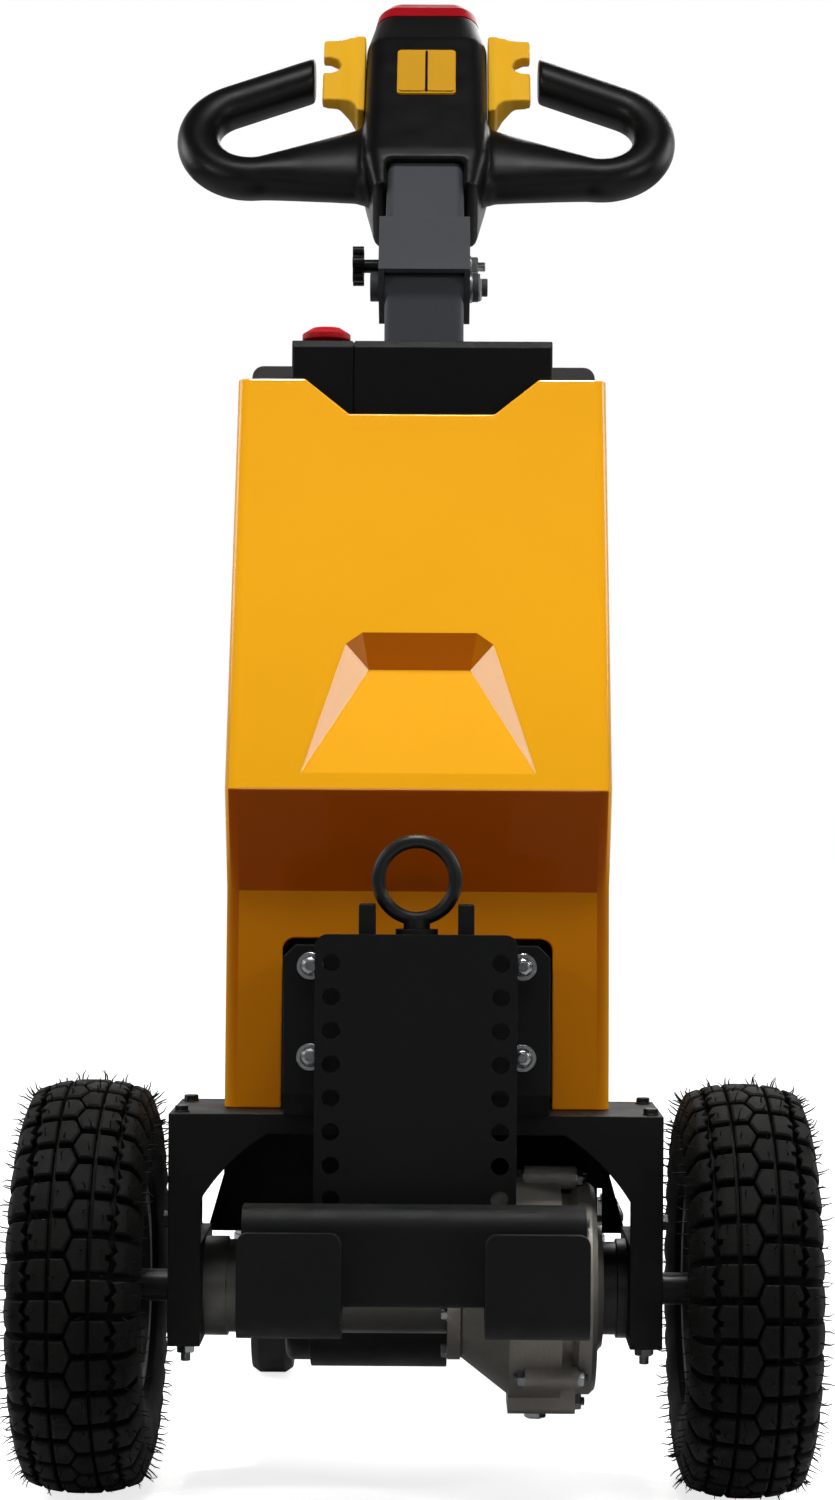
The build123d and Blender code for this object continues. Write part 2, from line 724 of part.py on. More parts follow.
def mast():
    h = MAST_W / 2
    plug = PIVOT_Z - DECK_Z
    tube = square_tube(MAST_W, MAST_WALL, 0, plug) + rod_x(h, -h, h, 0, plug)
    tube -= rod_x(PIVOT_R + RUN_GAP, -h - 1, h + 1, 0, plug)
    tube = Pos(0, MAST_Y, DECK_Z) * tube
    front = COVER_REAR + PLATE
    w = FOOT_W / 2
    rear = MAST_Y + h
    foot = block(-w, w, front, rear + FOOT_BACK, DECK_Z, DECK_Z + FOOT_T)
    foot = fillet(foot.edges().filter_by(Axis.Z), MAST_ROUND)
    rib = [(rear, DECK_Z), (rear + FOOT_BACK - 4, DECK_Z), (rear, DECK_Z + RIB_H)]
    rib = side_plate(rib, -FOOT_T / 2, FOOT_T / 2)
    # Two saddle brackets tie the tube to the rear panel
    ties = [block(-w, w, front, MAST_Y - h + 1, DECK_Z + up, DECK_Z + up + TIE_H) for up in TIE_UP]
    return tube.fuse(foot, rib, *ties)


nodes["mast"] = mast()


# Tiller, drawn upright about its pivot and leant back at the end
def lean(shape):
    return Pos(0, MAST_Y, PIVOT_Z) * Rot(-LEAN_DEG, 0, 0) * shape


def tiller_arm():
    h = MAST_W / 2
    front = -h - SWING_GAP
    # Fork: two cheeks beside the mast, one plate before it
    cheek = [
        (front - CHEEK, -FORK_LIP), (-h / 3, -FORK_LOW), (h / 2, -FORK_LOW), (h, -FORK_LIP / 2),
        (h, FORK_TOP), (front - CHEEK, FORK_TOP),
    ]
    cheek = side_plate(cheek, CHEEK_IN, CHEEK_OUT) - rod_x(PIVOT_R + RUN_GAP, 0, CHEEK_OUT + 1, 0, 0)
    plate = block(-CHEEK_OUT, CHEEK_OUT, front - CHEEK, front, -FORK_LIP, FORK_TOP)
    filler = block(-CHEEK_IN, CHEEK_IN, front, -h + MAST_WALL, FORK_LIP, FORK_TOP)
    clear = h + SWING_GAP
    neck = both(block(h - MAST_WALL, CHEEK_IN, -h, h, clear + 2, FORK_TOP))
    tube = square_tube(MAST_W, MAST_WALL, FORK_LIP, ARM_TOP)
    tube -= block(-h - 1, h + 1, 0, h + 1, 0, clear + 2)
    arm = tube + filler + neck - rod_x(clear, -CHEEK_IN, CHEEK_IN, 0, 0)
    return arm + plate + both(cheek)


def pivot_bolt():
    r = 1.6 * PIVOT_R
    out = CHEEK_OUT
    bolt = rod_x(PIVOT_R, -out, out + 2 * PIVOT_R, 0, 0)
    nut = rod_x(r, out, out + PIVOT_R, 0, 0)
    head = rod_x(r, -out - PIVOT_R, -out, 0, 0)
    return bolt + nut + head


def star_knob():
    back = -CHEEK_OUT - KNOB_NECK
    face = back - KNOB_T
    knob = rod_x(KNOB_LOBE_R + 1, back, -CHEEK_OUT, 0, 0) + rod_x(KNOB_R, face, back, 0, 0)
    for k in range(KNOB_LOBES):
        knob += Rot(360 / KNOB_LOBES * k, 0, 0) * rod_x(KNOB_LOBE_R, face, back, 0, KNOB_R + 1)
    return Pos(0, 0, KNOB_UP) * knob


# Control head: moulded sleeve over the arm, swelling from its root and flattening to the far end
def head_shell(sections):
    faces = []
    for s, width, depth, lift, corner in sections:
        faces.append(Pos(0, lift, s) * RectangleRounded(width, depth, corner))
    return loft(faces, ruled=True)


def tiller_head():
    # columns: height along the arm, width, depth, shift to the back, corner radius
    sections = [
        (HEAD_LOW, HEAD_W - 19, HEAD_D - 2, 0, 9),
        (SWELL_LOW, HEAD_W, HEAD_D + 4, 0, 16),
        (SWELL_TOP, HEAD_W, HEAD_D - 6, 4, 20),
        (HEAD_TOP, HEAD_W - 14, HEAD_D - 26, 8, 20),
    ]
    socket = extrude(RectangleRounded(MAST_W, MAST_W, MAST_ROUND), amount=ARM_TOP - HEAD_LOW + 1)
    # The skirt is cut away before the arm and runs on beside it
    window = block(-MAST_W / 2, MAST_W / 2, -HEAD_D, 0, HEAD_LOW - 1, SKIRT_FRONT)
    return head_shell(sections) - Pos(0, 0, HEAD_LOW - 1) * socket - window


def belly_button():
    # columns as for the head
    sections = [
        (HEAD_TOP, HEAD_W - 14, HEAD_D - 26, 8, 20),
        (HEAD_TOP + 0.5 * BELLY_H, HEAD_W - 18, HEAD_D - 30, 9, 20),
        (HEAD_TOP + 0.85 * BELLY_H, HEAD_W - 30, HEAD_D - 40, 9, 18),
        (HEAD_TOP + BELLY_H, HEAD_W - 48, HEAD_D - 54, 10, 13),
    ]
    return head_shell(sections)


# Loop grip: oval root at the head, straight run, round bend, inner end cut off upright
def grip():
    x0 = HEAD_W / 2
    start = Vector(GRIP_BEND_X, GRIP_BEND_S)
    slope = math.degrees(math.atan2(GRIP_BEND_S - GRIP_ROOT, GRIP_BEND_X - x0))
    bend = JernArc(start, Vector(1, 0).rotate(Axis.Z, slope), GRIP_BEND_R, GRIP_TURN_DEG)
    run = (bend @ 1).X - GRIP_END
    heading = bend % 1
    tail = Line(bend @ 1, bend @ 1 + heading * (run / abs(heading.X) + GRIP_R))
    plane = Plane(origin=(0, 0, 0), x_dir=(1, 0, 0), z_dir=(0, -1, 0))
    path = plane * Wire(bend.edges() + tail.edges())
    along_arm = (math.cos(math.radians(slope)), 0, math.sin(math.radians(slope)))
    ring = Plane(origin=(start.X, 0, start.Y), x_dir=(0, 1, 0), z_dir=along_arm)
    tube = sweep(ring * Circle(GRIP_R), path=path)
    tube -= block(0, GRIP_END, -GRIP_ROOT_D, GRIP_ROOT_D, GRIP_BEND_S, HEAD_TOP)
    root = Plane(origin=(x0, 0, GRIP_ROOT), x_dir=(0, 1, 0), z_dir=(1, 0, 0))
    oval = Ellipse(GRIP_ROOT_D / 2, GRIP_ROOT_H / 2)
    return loft([root * oval, ring * Circle(GRIP_R)]) + tube


# Butterfly throttle: paddle with a round notch in its outer edge and a hollow lower edge
def throttle():
    x0 = HEAD_W / 2 + FIT_GAP
    x1 = x0 + THROTTLE_W
    low = THROTTLE_LOW
    top = THROTTLE_TOP
    d = THROTTLE_D
    wing = low + WING_UP
    face = Polygon(
        (x0, low), (x0 + WING_TIP, low), (x0 + WING_ROOT, wing), (x1, wing), (x1, top), (x0, top), align=None
    )
    bends = face.vertices().sort_by_distance((x0 + WING_ROOT, wing))
    face = fillet(bends[0], 2 * THROTTLE_ROUND)
    face = fillet(face.vertices().group_by(Axis.X)[-1], THROTTLE_ROUND)
    paddle = along(face, -THROTTLE_AHEAD - d / 2, d / 2 - THROTTLE_AHEAD)
    notch = rod_y(NOTCH_R, -d, d, x1 - NOTCH_IN, low + NOTCH_UP)
    return paddle - notch


# Rocker panel: bezel with two rockers, seated on the head's sloping front
def rocker_panel():
    front_low = -(HEAD_D + 4) / 2
    front_high = 4 - (HEAD_D - 6) / 2
    pitch = math.atan2(front_high - front_low, SWELL_TOP - SWELL_LOW)
    s = (ROCKER_LOW + ROCKER_TOP) / 2
    n = front_low + (s - SWELL_LOW) * math.tan(pitch)
    seat = Plane(origin=(0, n, s), x_dir=(1, 0, 0), z_dir=(0, -math.cos(pitch), math.sin(pitch)))
    height = ROCKER_TOP - ROCKER_LOW
    bezel = extrude(seat * RectangleRounded(ROCKER_W, height, 4), amount=2)
    rocker = RectangleRounded(ROCKER_W / 2 - 2.5, height - 4, 3)
    for side in (-1, 1):
        bezel += extrude(seat * Pos(side * ROCKER_W / 4, 0, 2) * rocker, amount=1.5)
    return bezel


nodes["tiller_arm"] = lean(tiller_arm())
nodes["pivot_bolt"] = lean(pivot_bolt())
nodes["star_knob"] = lean(star_knob())
nodes["tiller_head"] = lean(tiller_head())
nodes["belly_button"] = lean(belly_button())
nodes["rocker_panel"] = lean(rocker_panel())
pair("grip", lean(grip()))
pair("throttle", lean(throttle()))


# Hitch bracket: back plate folded at its foot, two ears and two shelves that hold the drop pin
def hitch_bracket():
    w = BACK_W / 2
    bend_z = DECK_Z + BACK_BEND
    corner = 1.5 * PLATE
    y1 = BACK_Y - PLATE
    back = [
        (-w, bend_z), (w, bend_z), (w, BACK_TOP - corner), (w - corner, BACK_TOP),
        (corner - w, BACK_TOP), (-w, BACK_TOP - corner),
    ]
    back = front_plate(back, y1, BACK_Y)
    foot = [(y1, bend_z), (BACK_Y, bend_z), (PORTAL_FRONT, DECK_Z), (PORTAL_FRONT - PLATE, DECK_Z)]
    foot = side_plate(foot, -w, w)
    inner = EAR_X - EAR_T / 2
    ear = [
        (ADAPT_BACK, SHELF_LOW), (y1, SHELF_LOW), (y1, EAR_TOP - EAR_CUT),
        (y1 - EAR_CUT, EAR_TOP), (ADAPT_BACK, EAR_TOP),
    ]
    ear = side_plate(ear, inner, inner + EAR_T)
    shelves = [block(-inner, inner, ADAPT_BACK, y1, z, z + SHELF_T) for z in (SHELF_UP, SHELF_LOW)]
    bracket = back.fuse(foot, both(ear), *shelves)
    return bracket - rod_z(PIN_R + FIT_GAP, SHELF_LOW - 1, EAR_TOP, 0, PIN_Y)


# Hitch pin: collar that rests on the upper shelf, eye ring above, chamfered point below
def hitch_pin():
    seat = SHELF_UP + SHELF_T + FIT_GAP
    low = SHELF_LOW - 2 * PIN_R
    pin = rod_z(PIN_R, low, RING_Z - RING_R, 0, PIN_Y)
    pin = chamfer(pin.edges().group_by(Axis.Z)[0], PIN_POINT)
    pin += rod_z(PIN_COLLAR, seat, seat + PLATE, 0, PIN_Y)
    return pin + Pos(0, PIN_Y, RING_Z) * Torus(RING_R, RING_WIRE, rotation=(90, 0, 0))


# Adapter plate: two columns of holes, tongue behind for the pin
def adapter_plate():
    height = ADAPT_TOP - ADAPT_LOW
    outline = Pos(0, ADAPT_LOW + height / 2) * RectangleRounded(ADAPT_W, height, ADAPT_ROUND)
    plate = along(outline, ADAPT_FRONT, ADAPT_BACK)
    mid = (SHELF_UP + SHELF_LOW + SHELF_T) / 2
    back = PIN_Y + TONGUE_BACK
    w = TONGUE_W / 2
    tongue = block(-w, w, ADAPT_BACK, back, mid - TONGUE_T / 2, mid + TONGUE_T / 2)
    tongue = fillet(tongue.edges().filter_by(Axis.Z).group_by(Axis.Y)[-1], TONGUE_ROUND)
    plate = plate + tongue - rod_z(PIN_R + FIT_GAP, SHELF_LOW, SHELF_UP, 0, PIN_Y)
    holes = []
    for row in range(HOLE_ROWS):
        z = HOLE_Z - HOLE_PITCH * row
        for x in (-HOLE_X, HOLE_X):
            holes.append(rod_y(HOLE_R, ADAPT_FRONT - 1, ADAPT_BACK + 1, x, z))
    return plate.cut(*holes)


# Hook yoke: folded bar bolted to the adapter plate, a J-shaped hook at each end
def hook_yoke():
    w = YOKE_W / 2
    half = YOKE_T / 2
    bend = YOKE_BEND - YOKE_T
    back = ADAPT_FRONT - half
    wall = YOKE_WALL + half
    top = YOKE_TOP - half
    bar = [(back, YOKE_LOW), (back, top), (wall, top), (wall, YOKE_LOW)]
    floor = LIP_LOW + half
    lip = LIP_FRONT + half
    hook = [(wall, YOKE_LOW), (wall, floor), (lip, floor), (lip, LIP_TOP)]
    yoke = bent_sheet(bar, YOKE_T, bend, -w, w)
    # Lips with rounded upper corners
    tall = 2 * (LIP_TOP - LIP_LOW)
    outline = Pos(w - LIP_W / 2, LIP_TOP - tall / 2) * RectangleRounded(LIP_W, tall, LIP_ROUND)
    rounded = along(outline, LIP_FRONT - YOKE_T, YOKE_WALL + YOKE_T)
    return yoke + both(bent_sheet(hook, YOKE_T, bend, w - LIP_W, w) & rounded)


nodes["hitch_bracket"] = hitch_bracket()
nodes["hitch_pin"] = hitch_pin()
nodes["adapter_plate"] = adapter_plate()
nodes["hook_yoke"] = hook_yoke()


# Export, moved so that the machine stands centred over the origin
os.makedirs("parts", exist_ok=True)
for name, shape in nodes.items():
    export_step(Pos(0, -Y_MID, 0) * shape, "parts/" + name + ".step")
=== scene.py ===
import math
import random

import bmesh
import bpy
from mathutils import Matrix, Vector


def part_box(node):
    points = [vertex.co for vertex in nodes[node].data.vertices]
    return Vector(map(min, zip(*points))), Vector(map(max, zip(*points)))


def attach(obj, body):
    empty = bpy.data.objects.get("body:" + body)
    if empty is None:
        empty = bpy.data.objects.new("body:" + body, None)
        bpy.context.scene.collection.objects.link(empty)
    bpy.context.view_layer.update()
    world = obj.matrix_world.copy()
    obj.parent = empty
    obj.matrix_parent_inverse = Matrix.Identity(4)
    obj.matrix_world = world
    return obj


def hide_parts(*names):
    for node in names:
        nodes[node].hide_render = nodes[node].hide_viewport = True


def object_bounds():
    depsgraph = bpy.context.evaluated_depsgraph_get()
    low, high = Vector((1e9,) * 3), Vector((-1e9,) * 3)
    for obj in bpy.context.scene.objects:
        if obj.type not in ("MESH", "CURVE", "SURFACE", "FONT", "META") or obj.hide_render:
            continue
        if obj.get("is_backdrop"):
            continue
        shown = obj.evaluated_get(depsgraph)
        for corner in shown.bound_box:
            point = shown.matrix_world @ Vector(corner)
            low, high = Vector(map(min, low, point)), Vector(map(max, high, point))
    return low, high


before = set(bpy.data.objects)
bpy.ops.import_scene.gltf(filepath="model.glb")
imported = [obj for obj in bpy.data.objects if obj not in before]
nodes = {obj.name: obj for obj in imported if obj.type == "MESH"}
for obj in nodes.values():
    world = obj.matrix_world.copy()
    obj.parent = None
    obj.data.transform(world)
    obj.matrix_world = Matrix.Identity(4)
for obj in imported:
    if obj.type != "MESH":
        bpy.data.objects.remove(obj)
cad_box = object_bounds()
scene = bpy.context.scene
dice = random.Random(7)

MM = 0.001
SIDES = ("left", "right")
RIGHT = Vector((1, 0, 0))
LEFT = Vector((-1, 0, 0))
FRONT = Vector((0, -1, 0))
REAR = Vector((0, 1, 0))
UP = Vector((0, 0, 1))
DOWN = Vector((0, 0, -1))


# Places
def middle(node):
    low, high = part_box(node)
    return (low + high) / 2


AXLE = middle("rim_right")


def corners(node):
    # Low and high corner of a node's box, in the tables' millimetres
    return [Vector((c.x, c.y - AXLE.y, c.z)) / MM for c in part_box(node)]


def spot(x, y, z):
    # Scene point of a place in the tables
    return Vector((x * MM, AXLE.y + y * MM, z * MM))


PIVOT = spot(0, 334, 1000)
LEAN = math.radians(35)


def tilted(x, n, s):
    # Scene point in the tiller's own millimetres: across, towards the back, along the arm
    return PIVOT + Matrix.Rotation(-LEAN, 4, "X") @ Vector((x, n, s)) * MM


# Materials
def rgb(r, g, b):
    # sRGB bytes to linear colour
    def linear(c):
        c = c / 255
        return c / 12.92 if c <= 0.04045 else ((c + 0.055) / 1.055) ** 2.4

    return (linear(r), linear(g), linear(b), 1.0)


def shade(color, factor):
    return tuple(min(1.0, c * factor) for c in color[:3]) + (1.0,)


NOISE_BAND = (0.3, 0.7)
EDGE_COSINES = (0.99, 0.85)
RUB_SCALE = 70
RUB_BAND = (0.5, 0.68)
RUB_MOST = 0.8
DUST_SCALE = 28
DUST_FACES = (0.6, 1.0)
SMEAR_SCALE = 35
# Painted shade: front faces that don't look up lie low on this direction, and take a darker colour and a
# thinner coat
PAINTED_SHADE_LOOK = (0, 0.67, 1.5)
PAINTED_SHADE_BAND = (-0.85, -0.1)
SHADED_FACE_COAT = 0.15
COAT_ROUGH = 0.07


class Shader:
    # Node tree of one material with the few links that every finish here uses
    def __init__(self, name):
        self.material = bpy.data.materials.new(name)
        self.material.use_nodes = True
        self.tree = self.material.node_tree
        self.out = self.tree.nodes["Principled BSDF"]
        self.place = self.new("ShaderNodeTexCoord").outputs["Object"]

    def new(self, kind):
        return self.tree.nodes.new(kind)

    def link(self, source, target):
        self.tree.links.new(source, target)

    def noise(self, scale, detail):
        node = self.new("ShaderNodeTexNoise")
        node.inputs["Scale"].default_value = scale
        node.inputs["Detail"].default_value = detail
        self.link(self.place, node.inputs["Vector"])
        return node.outputs["Fac"]

    def ranged(self, value, low, high, to_low, to_high):
        node = self.new("ShaderNodeMapRange")
        limits = {"From Min": low, "From Max": high, "To Min": to_low, "To Max": to_high}
        for key, number in limits.items():
            node.inputs[key].default_value = number
        self.link(value, node.inputs["Value"])
        return node.outputs["Result"]

    def mixed(self, factor, a, b):
        node = self.new("ShaderNodeMix")
        node.data_type = "RGBA"
        self.link(factor, node.inputs[0])
        for socket, color in ((node.inputs[6], a), (node.inputs[7], b)):
            if isinstance(color, tuple):
                socket.default_value = color
            else:
                self.link(color, socket)
        return node.outputs[2]

    def product(self, a, b):
        node = self.new("ShaderNodeMath")
        node.operation = "MULTIPLY"
        self.link(a, node.inputs[0])
        self.link(b, node.inputs[1])
        return node.outputs[0]

    def facing(self, direction):
        # Dot product of the surface normal with a direction, which may be a socket
        dot = self.new("ShaderNodeVectorMath")
        dot.operation = "DOT_PRODUCT"
        self.link(self.new("ShaderNodeNewGeometry").outputs["Normal"], dot.inputs[0])
        if isinstance(direction, bpy.types.NodeSocket):
            self.link(direction, dot.inputs[1])
        else:
            dot.inputs[1].default_value = direction
        return dot.outputs["Value"]

    def edges(self, radius):
        # 1 on sharp edges, 0 on flat ground
        bevel = self.new("ShaderNodeBevel")
        bevel.inputs["Radius"].default_value = radius
        return self.ranged(self.facing(bevel.outputs["Normal"]), *EDGE_COSINES, 0.0, 1.0)

    def bump(self, height, distance):
        node = self.new("ShaderNodeBump")
        node.inputs["Distance"].default_value = distance
        node.inputs["Strength"].default_value = 1.0
        self.link(height, node.inputs["Height"])
        self.link(node.outputs["Normal"], self.out.inputs["Normal"])


def surface(name, color, rough, metal=0.0, blotch=(9, 0.1), grain=(500, 0.0002), shine=0.08,
            wear=None, dust=None, painted_shade=None, coat=0.0, gloss=0.5):
    """blotch: scale and depth of the colour's variation; grain: scale and height in metres of the bump;
    shine: how far the roughness varies; wear: (radius, colour) along edges; dust: (amount, colour) on top
    faces; painted_shade: darker colour painted as shade on front faces that don't look up, where the coat is
    thin too."""
    s = Shader(name)
    tone = s.ranged(s.noise(blotch[0], 6.0), *NOISE_BAND, 0.0, 1.0)
    paint = s.mixed(tone, shade(color, 1 - blotch[1]), shade(color, 1 + blotch[1]))
    s.out.inputs["Coat Weight"].default_value = coat
    s.out.inputs["Coat Roughness"].default_value = COAT_ROUGH
    if painted_shade:
        # Painted shade: front faces that don't look up take the darker colour, and their coat is thinned
        lit = s.facing(PAINTED_SHADE_LOOK)
        paint = s.mixed(s.ranged(lit, *PAINTED_SHADE_BAND, 0.0, 1.0), painted_shade, paint)
        s.link(s.ranged(lit, *PAINTED_SHADE_BAND, SHADED_FACE_COAT * coat, coat), s.out.inputs["Coat Weight"])
    if dust:
        flat = s.ranged(s.facing(UP), *DUST_FACES, 0.0, dust[0])
        paint = s.mixed(s.product(flat, s.noise(DUST_SCALE, 8.0)), paint, dust[1])
    if wear:
        rub = s.ranged(s.noise(RUB_SCALE, 6.0), *RUB_BAND, 0.0, RUB_MOST)
        paint = s.mixed(s.product(s.edges(wear[0]), rub), paint, wear[1])
    s.link(paint, s.out.inputs["Base Color"])
    smear = s.noise(SMEAR_SCALE, 5.0)
    s.link(s.ranged(smear, *NOISE_BAND, rough - shine, rough + shine), s.out.inputs["Roughness"])
    s.bump(s.noise(grain[0], 3.0), grain[1])
    s.out.inputs["Metallic"].default_value = metal
    s.out.inputs["Specular IOR Level"].default_value = gloss
    return s.material


# The deep orange is painted shade on the cover's front faces that don't look up, under the crease
YELLOW = surface("yellow_powder_coat", rgb(243, 170, 11), 0.5, blotch=(5, 0.03), grain=(900, 0.00008),
                 shine=0.05, wear=(0.0012, rgb(250, 190, 60)), painted_shade=rgb(198, 90, 3), coat=0.45, gloss=0.05)
CHARCOAL = surface("charcoal_powder_coat", rgb(14, 16, 15), 0.55, blotch=(14, 0.08), grain=(1100, 0.00025),
                   shine=0.07, wear=(0.0012, rgb(70, 72, 74)), dust=(0.12, rgb(70, 68, 65)), gloss=0.16)
SLATE = surface("slate_powder_coat", rgb(72, 74, 78), 0.5, blotch=(10, 0.05), grain=(1100, 0.0002),
                shine=0.06, wear=(0.001, rgb(118, 120, 122)), gloss=0.2)
BLACK_PAINT = surface("black_enamel", rgb(20, 21, 22), 0.4, blotch=(16, 0.1), grain=(700, 0.0001), shine=0.08,
                      wear=(0.001, rgb(70, 70, 70)), gloss=0.3)
CAST = surface("cast_aluminium", rgb(152, 147, 139), 0.48, metal=0.3, blotch=(22, 0.14), grain=(420, 0.0005),
               shine=0.1, wear=(0.0015, rgb(170, 168, 163)), dust=(0.2, rgb(90, 86, 78)), gloss=0.3)
TUBE_GREY = surface("axle_tube_grey", rgb(92, 91, 86), 0.4, metal=0.4, blotch=(24, 0.1), grain=(420, 0.0002),
                    shine=0.1, wear=(0.001, rgb(150, 150, 148)), gloss=0.3)
ZINC = surface("zinc_plate", rgb(152, 154, 156), 0.33, metal=1.0, blotch=(60, 0.1), grain=(900, 0.00008),
               shine=0.1)
RIM_PAINT = surface("rim_black", rgb(32, 33, 35), 0.46, blotch=(12, 0.08), grain=(800, 0.00015),
                    shine=0.06, wear=(0.0012, rgb(110, 108, 104)), gloss=0.3)
TYRE_RUBBER = surface("tyre_rubber", rgb(17, 17, 16), 0.7, blotch=(40, 0.16), grain=(620, 0.0004), shine=0.1,
                      gloss=0.12)
CASTER_RUBBER = surface("caster_rubber", rgb(52, 52, 54), 0.55, blotch=(30, 0.1), grain=(500, 0.0002),
                        shine=0.08, gloss=0.3)
MOULDED = surface("moulded_black", rgb(11, 11, 12), 0.36, blotch=(18, 0.1), grain=(1500, 0.0001), shine=0.05,
                  gloss=0.2)
DASH_BLACK = surface("dash_black", rgb(14, 14, 15), 0.48, blotch=(18, 0.1), grain=(1600, 0.00018), shine=0.05,
                     gloss=0.1)
YELLOW_PLASTIC = surface("yellow_plastic", rgb(254, 190, 36), 0.42, blotch=(14, 0.03), grain=(1400, 0.00008),
                         shine=0.05, gloss=0.2)
ROCKER_YELLOW = surface("rocker_yellow", rgb(226, 166, 34), 0.45, blotch=(14, 0.03), grain=(1400, 0.00008),
                        shine=0.05, gloss=0.15)
RED_PLASTIC = surface("red_plastic", rgb(172, 18, 30), 0.4, blotch=(20, 0.06), grain=(1200, 0.00005),
                      shine=0.05, gloss=0.08)
STOP_RED = surface("stop_button_red", rgb(178, 24, 32), 0.42, blotch=(20, 0.06), grain=(1200, 0.00005),
                   shine=0.05, gloss=0.08)
MOTOR_BLACK = surface("motor_black", rgb(22, 22, 23), 0.5, blotch=(25, 0.1), grain=(600, 0.0002), shine=0.08,
                      dust=(0.2, rgb(70, 66, 60)), gloss=0.25)
BATTERY_GREY = surface("battery_grey", rgb(70, 72, 74), 0.5, blotch=(12, 0.08), grain=(900, 0.0002))


# CAD nodes keep their shape: welded, edges broken by a small round, one finish each
WELD_GAP = 0.00001
FLAT_ANGLE = math.radians(0.3)
EDGE_ANGLE = math.radians(35)


def finish_node(name, material, edge):
    thing = nodes[name]
    thing.data.materials.clear()
    thing.data.materials.append(material)
    weld = thing.modifiers.new("weld", "WELD")
    weld.merge_threshold = WELD_GAP
    flat = thing.modifiers.new("flat", "DECIMATE")
    flat.decimate_type = "DISSOLVE"
    flat.angle_limit = FLAT_ANGLE
    bevel = thing.modifiers.new("edge", "BEVEL")
    bevel.width = edge
    bevel.segments = 2
    bevel.limit_method = "ANGLE"
    bevel.angle_limit = EDGE_ANGLE
    bevel.use_clamp_overlap = True
    normals = thing.modifiers.new("normals", "WEIGHTED_NORMAL")
    normals.keep_sharp = True


# columns: material, edge round in metres, nodes
FINISHES = [
    (YELLOW, 0.0012, ["body_cover"]),
    (CHARCOAL, 0.0008, ["portal_frame", "rear_deck", "hitch_bracket", "adapter_plate", "hook_yoke"]),
    (SLATE, 0.0008, ["rear_panel", "mast", "tiller_arm", "pivot_bolt"]),
    (BLACK_PAINT, 0.0006, ["hitch_pin", "axle_tube_right"] + ["half_shaft_" + s for s in SIDES]),
    (CAST, 0.0015, ["gear_case", "gear_cover"]),
    (TUBE_GREY, 0.0006, ["axle_tube_left"]),
    (ZINC, 0.0005, [p + s for s in SIDES for p in ("caster_plate_", "caster_fork_", "caster_axle_")]),
    (RIM_PAINT, 0.001, ["rim_" + s for s in SIDES]),
    (CASTER_RUBBER, 0.0008, ["caster_wheel_" + s for s in SIDES]),
    (MOTOR_BLACK, 0.001, ["motor"]),
    (BATTERY_GREY, 0.002, ["battery"]),
    (DASH_BLACK, 0.001, ["dashboard"]),
    (MOULDED, 0.001, ["star_knob"]),
    (ROCKER_YELLOW, 0.0012, ["rocker_panel"]),
    (RED_PLASTIC, 0.0008, ["belly_button"]),
    (STOP_RED, 0.0008, ["stop_button"]),
]
for material, edge, names in FINISHES:
    for name in names:
        finish_node(name, material, edge)


# Mesh helpers
# Proportions of fasteners, in thread sizes
WASHER_R = 1.05
WASHER_HIGH = 0.18
HEAD_FLATS = 1.65
HEAD_HIGH = 0.65
THREAD_R = 0.5
THREAD_ROOT = 0.44
THREAD_TIP = 0.42
THREAD_FOOT = 0.6
THREAD_PITCH = 0.16
BUTTON_WASHER_R = 1.29
BUTTON_WASHER_HIGH = 0.2
BUTTON_HIGH = 0.62
BUTTON_SOCKET = 0.38
# columns: radius in thread sizes, height in head heights
BUTTON_HEAD = [(0.95, 0), (0.95, 0.2), (0.8, 0.75), (0.55, 1)]
SOCKET_FLOOR = 0.35
# Turn of the first hexagon in radians, and of each one after it
FIRST_TURN = 0.3
NEXT_TURN = 0.7


def along(point, direction):
    # Matrix that takes local +Z to the direction and the origin to the point
    turn = UP.rotation_difference(direction).to_matrix().to_4x4()
    return Matrix.Translation(point) @ turn


def ring(bm, place, radius, z, count, start=0.0):
    verts = []
    for k in range(count):
        a = start + 2 * math.pi * k / count
        verts.append(bm.verts.new(place @ Vector((radius * math.cos(a), radius * math.sin(a), z))))
    return verts


def bridge(bm, a, b):
    for k in range(len(a)):
        n = (k + 1) % len(a)
        bm.faces.new((a[k], a[n], b[n], b[k]))


def turned(bm, place, profile, count=24, start=0.0):
    # Closed body of revolution from (radius, height) pairs, capped flat at both ends
    rings = [ring(bm, place, r, z, count, start) for r, z in profile]
    for a, b in zip(rings, rings[1:]):
        bridge(bm, a, b)
    bm.faces.new(list(reversed(rings[0])))
    bm.faces.new(rings[-1])


def washer(bm, place, bore, outer, height):
    profile = [(bore, 0), (outer, 0), (outer, 0.8 * height), (outer - 0.2 * height, height), (bore, height)]
    rings = [ring(bm, place, r, z, 28) for r, z in profile]
    for a, b in zip(rings, rings[1:] + rings[:1]):
        bridge(bm, a, b)


def hexagon(bm, place, flats, height, start=0.0):
    # Hexagon head with its corners turned off
    corner = flats / math.sqrt(3)
    turned(bm, place, [(corner, 0), (corner, 0.82 * height), (0.9 * corner, height)], 6, start)


def hex_bolt(bm, point, direction, size, tail=0.0, start=FIRST_TURN):
    # Washer, hexagon head and, on a tail, the thread's end
    place = along(point, direction)
    thick = WASHER_HIGH * size
    washer(bm, place, THREAD_R * size, WASHER_R * size, thick)
    head = place @ Matrix.Translation((0, 0, thick))
    hexagon(bm, head, HEAD_FLATS * size, HEAD_HIGH * size, start)
    if tail:
        top = place @ Matrix.Translation((0, 0, thick + THREAD_FOOT * size))
        turns = max(3, int(tail / (THREAD_PITCH * size)))
        thread = []
        for k in range(turns):
            z = tail * k / turns
            thread += [(THREAD_ROOT * size, z), (THREAD_R * size, z + 0.5 * tail / turns)]
        turned(bm, top, thread + [(THREAD_TIP * size, tail)], 16)


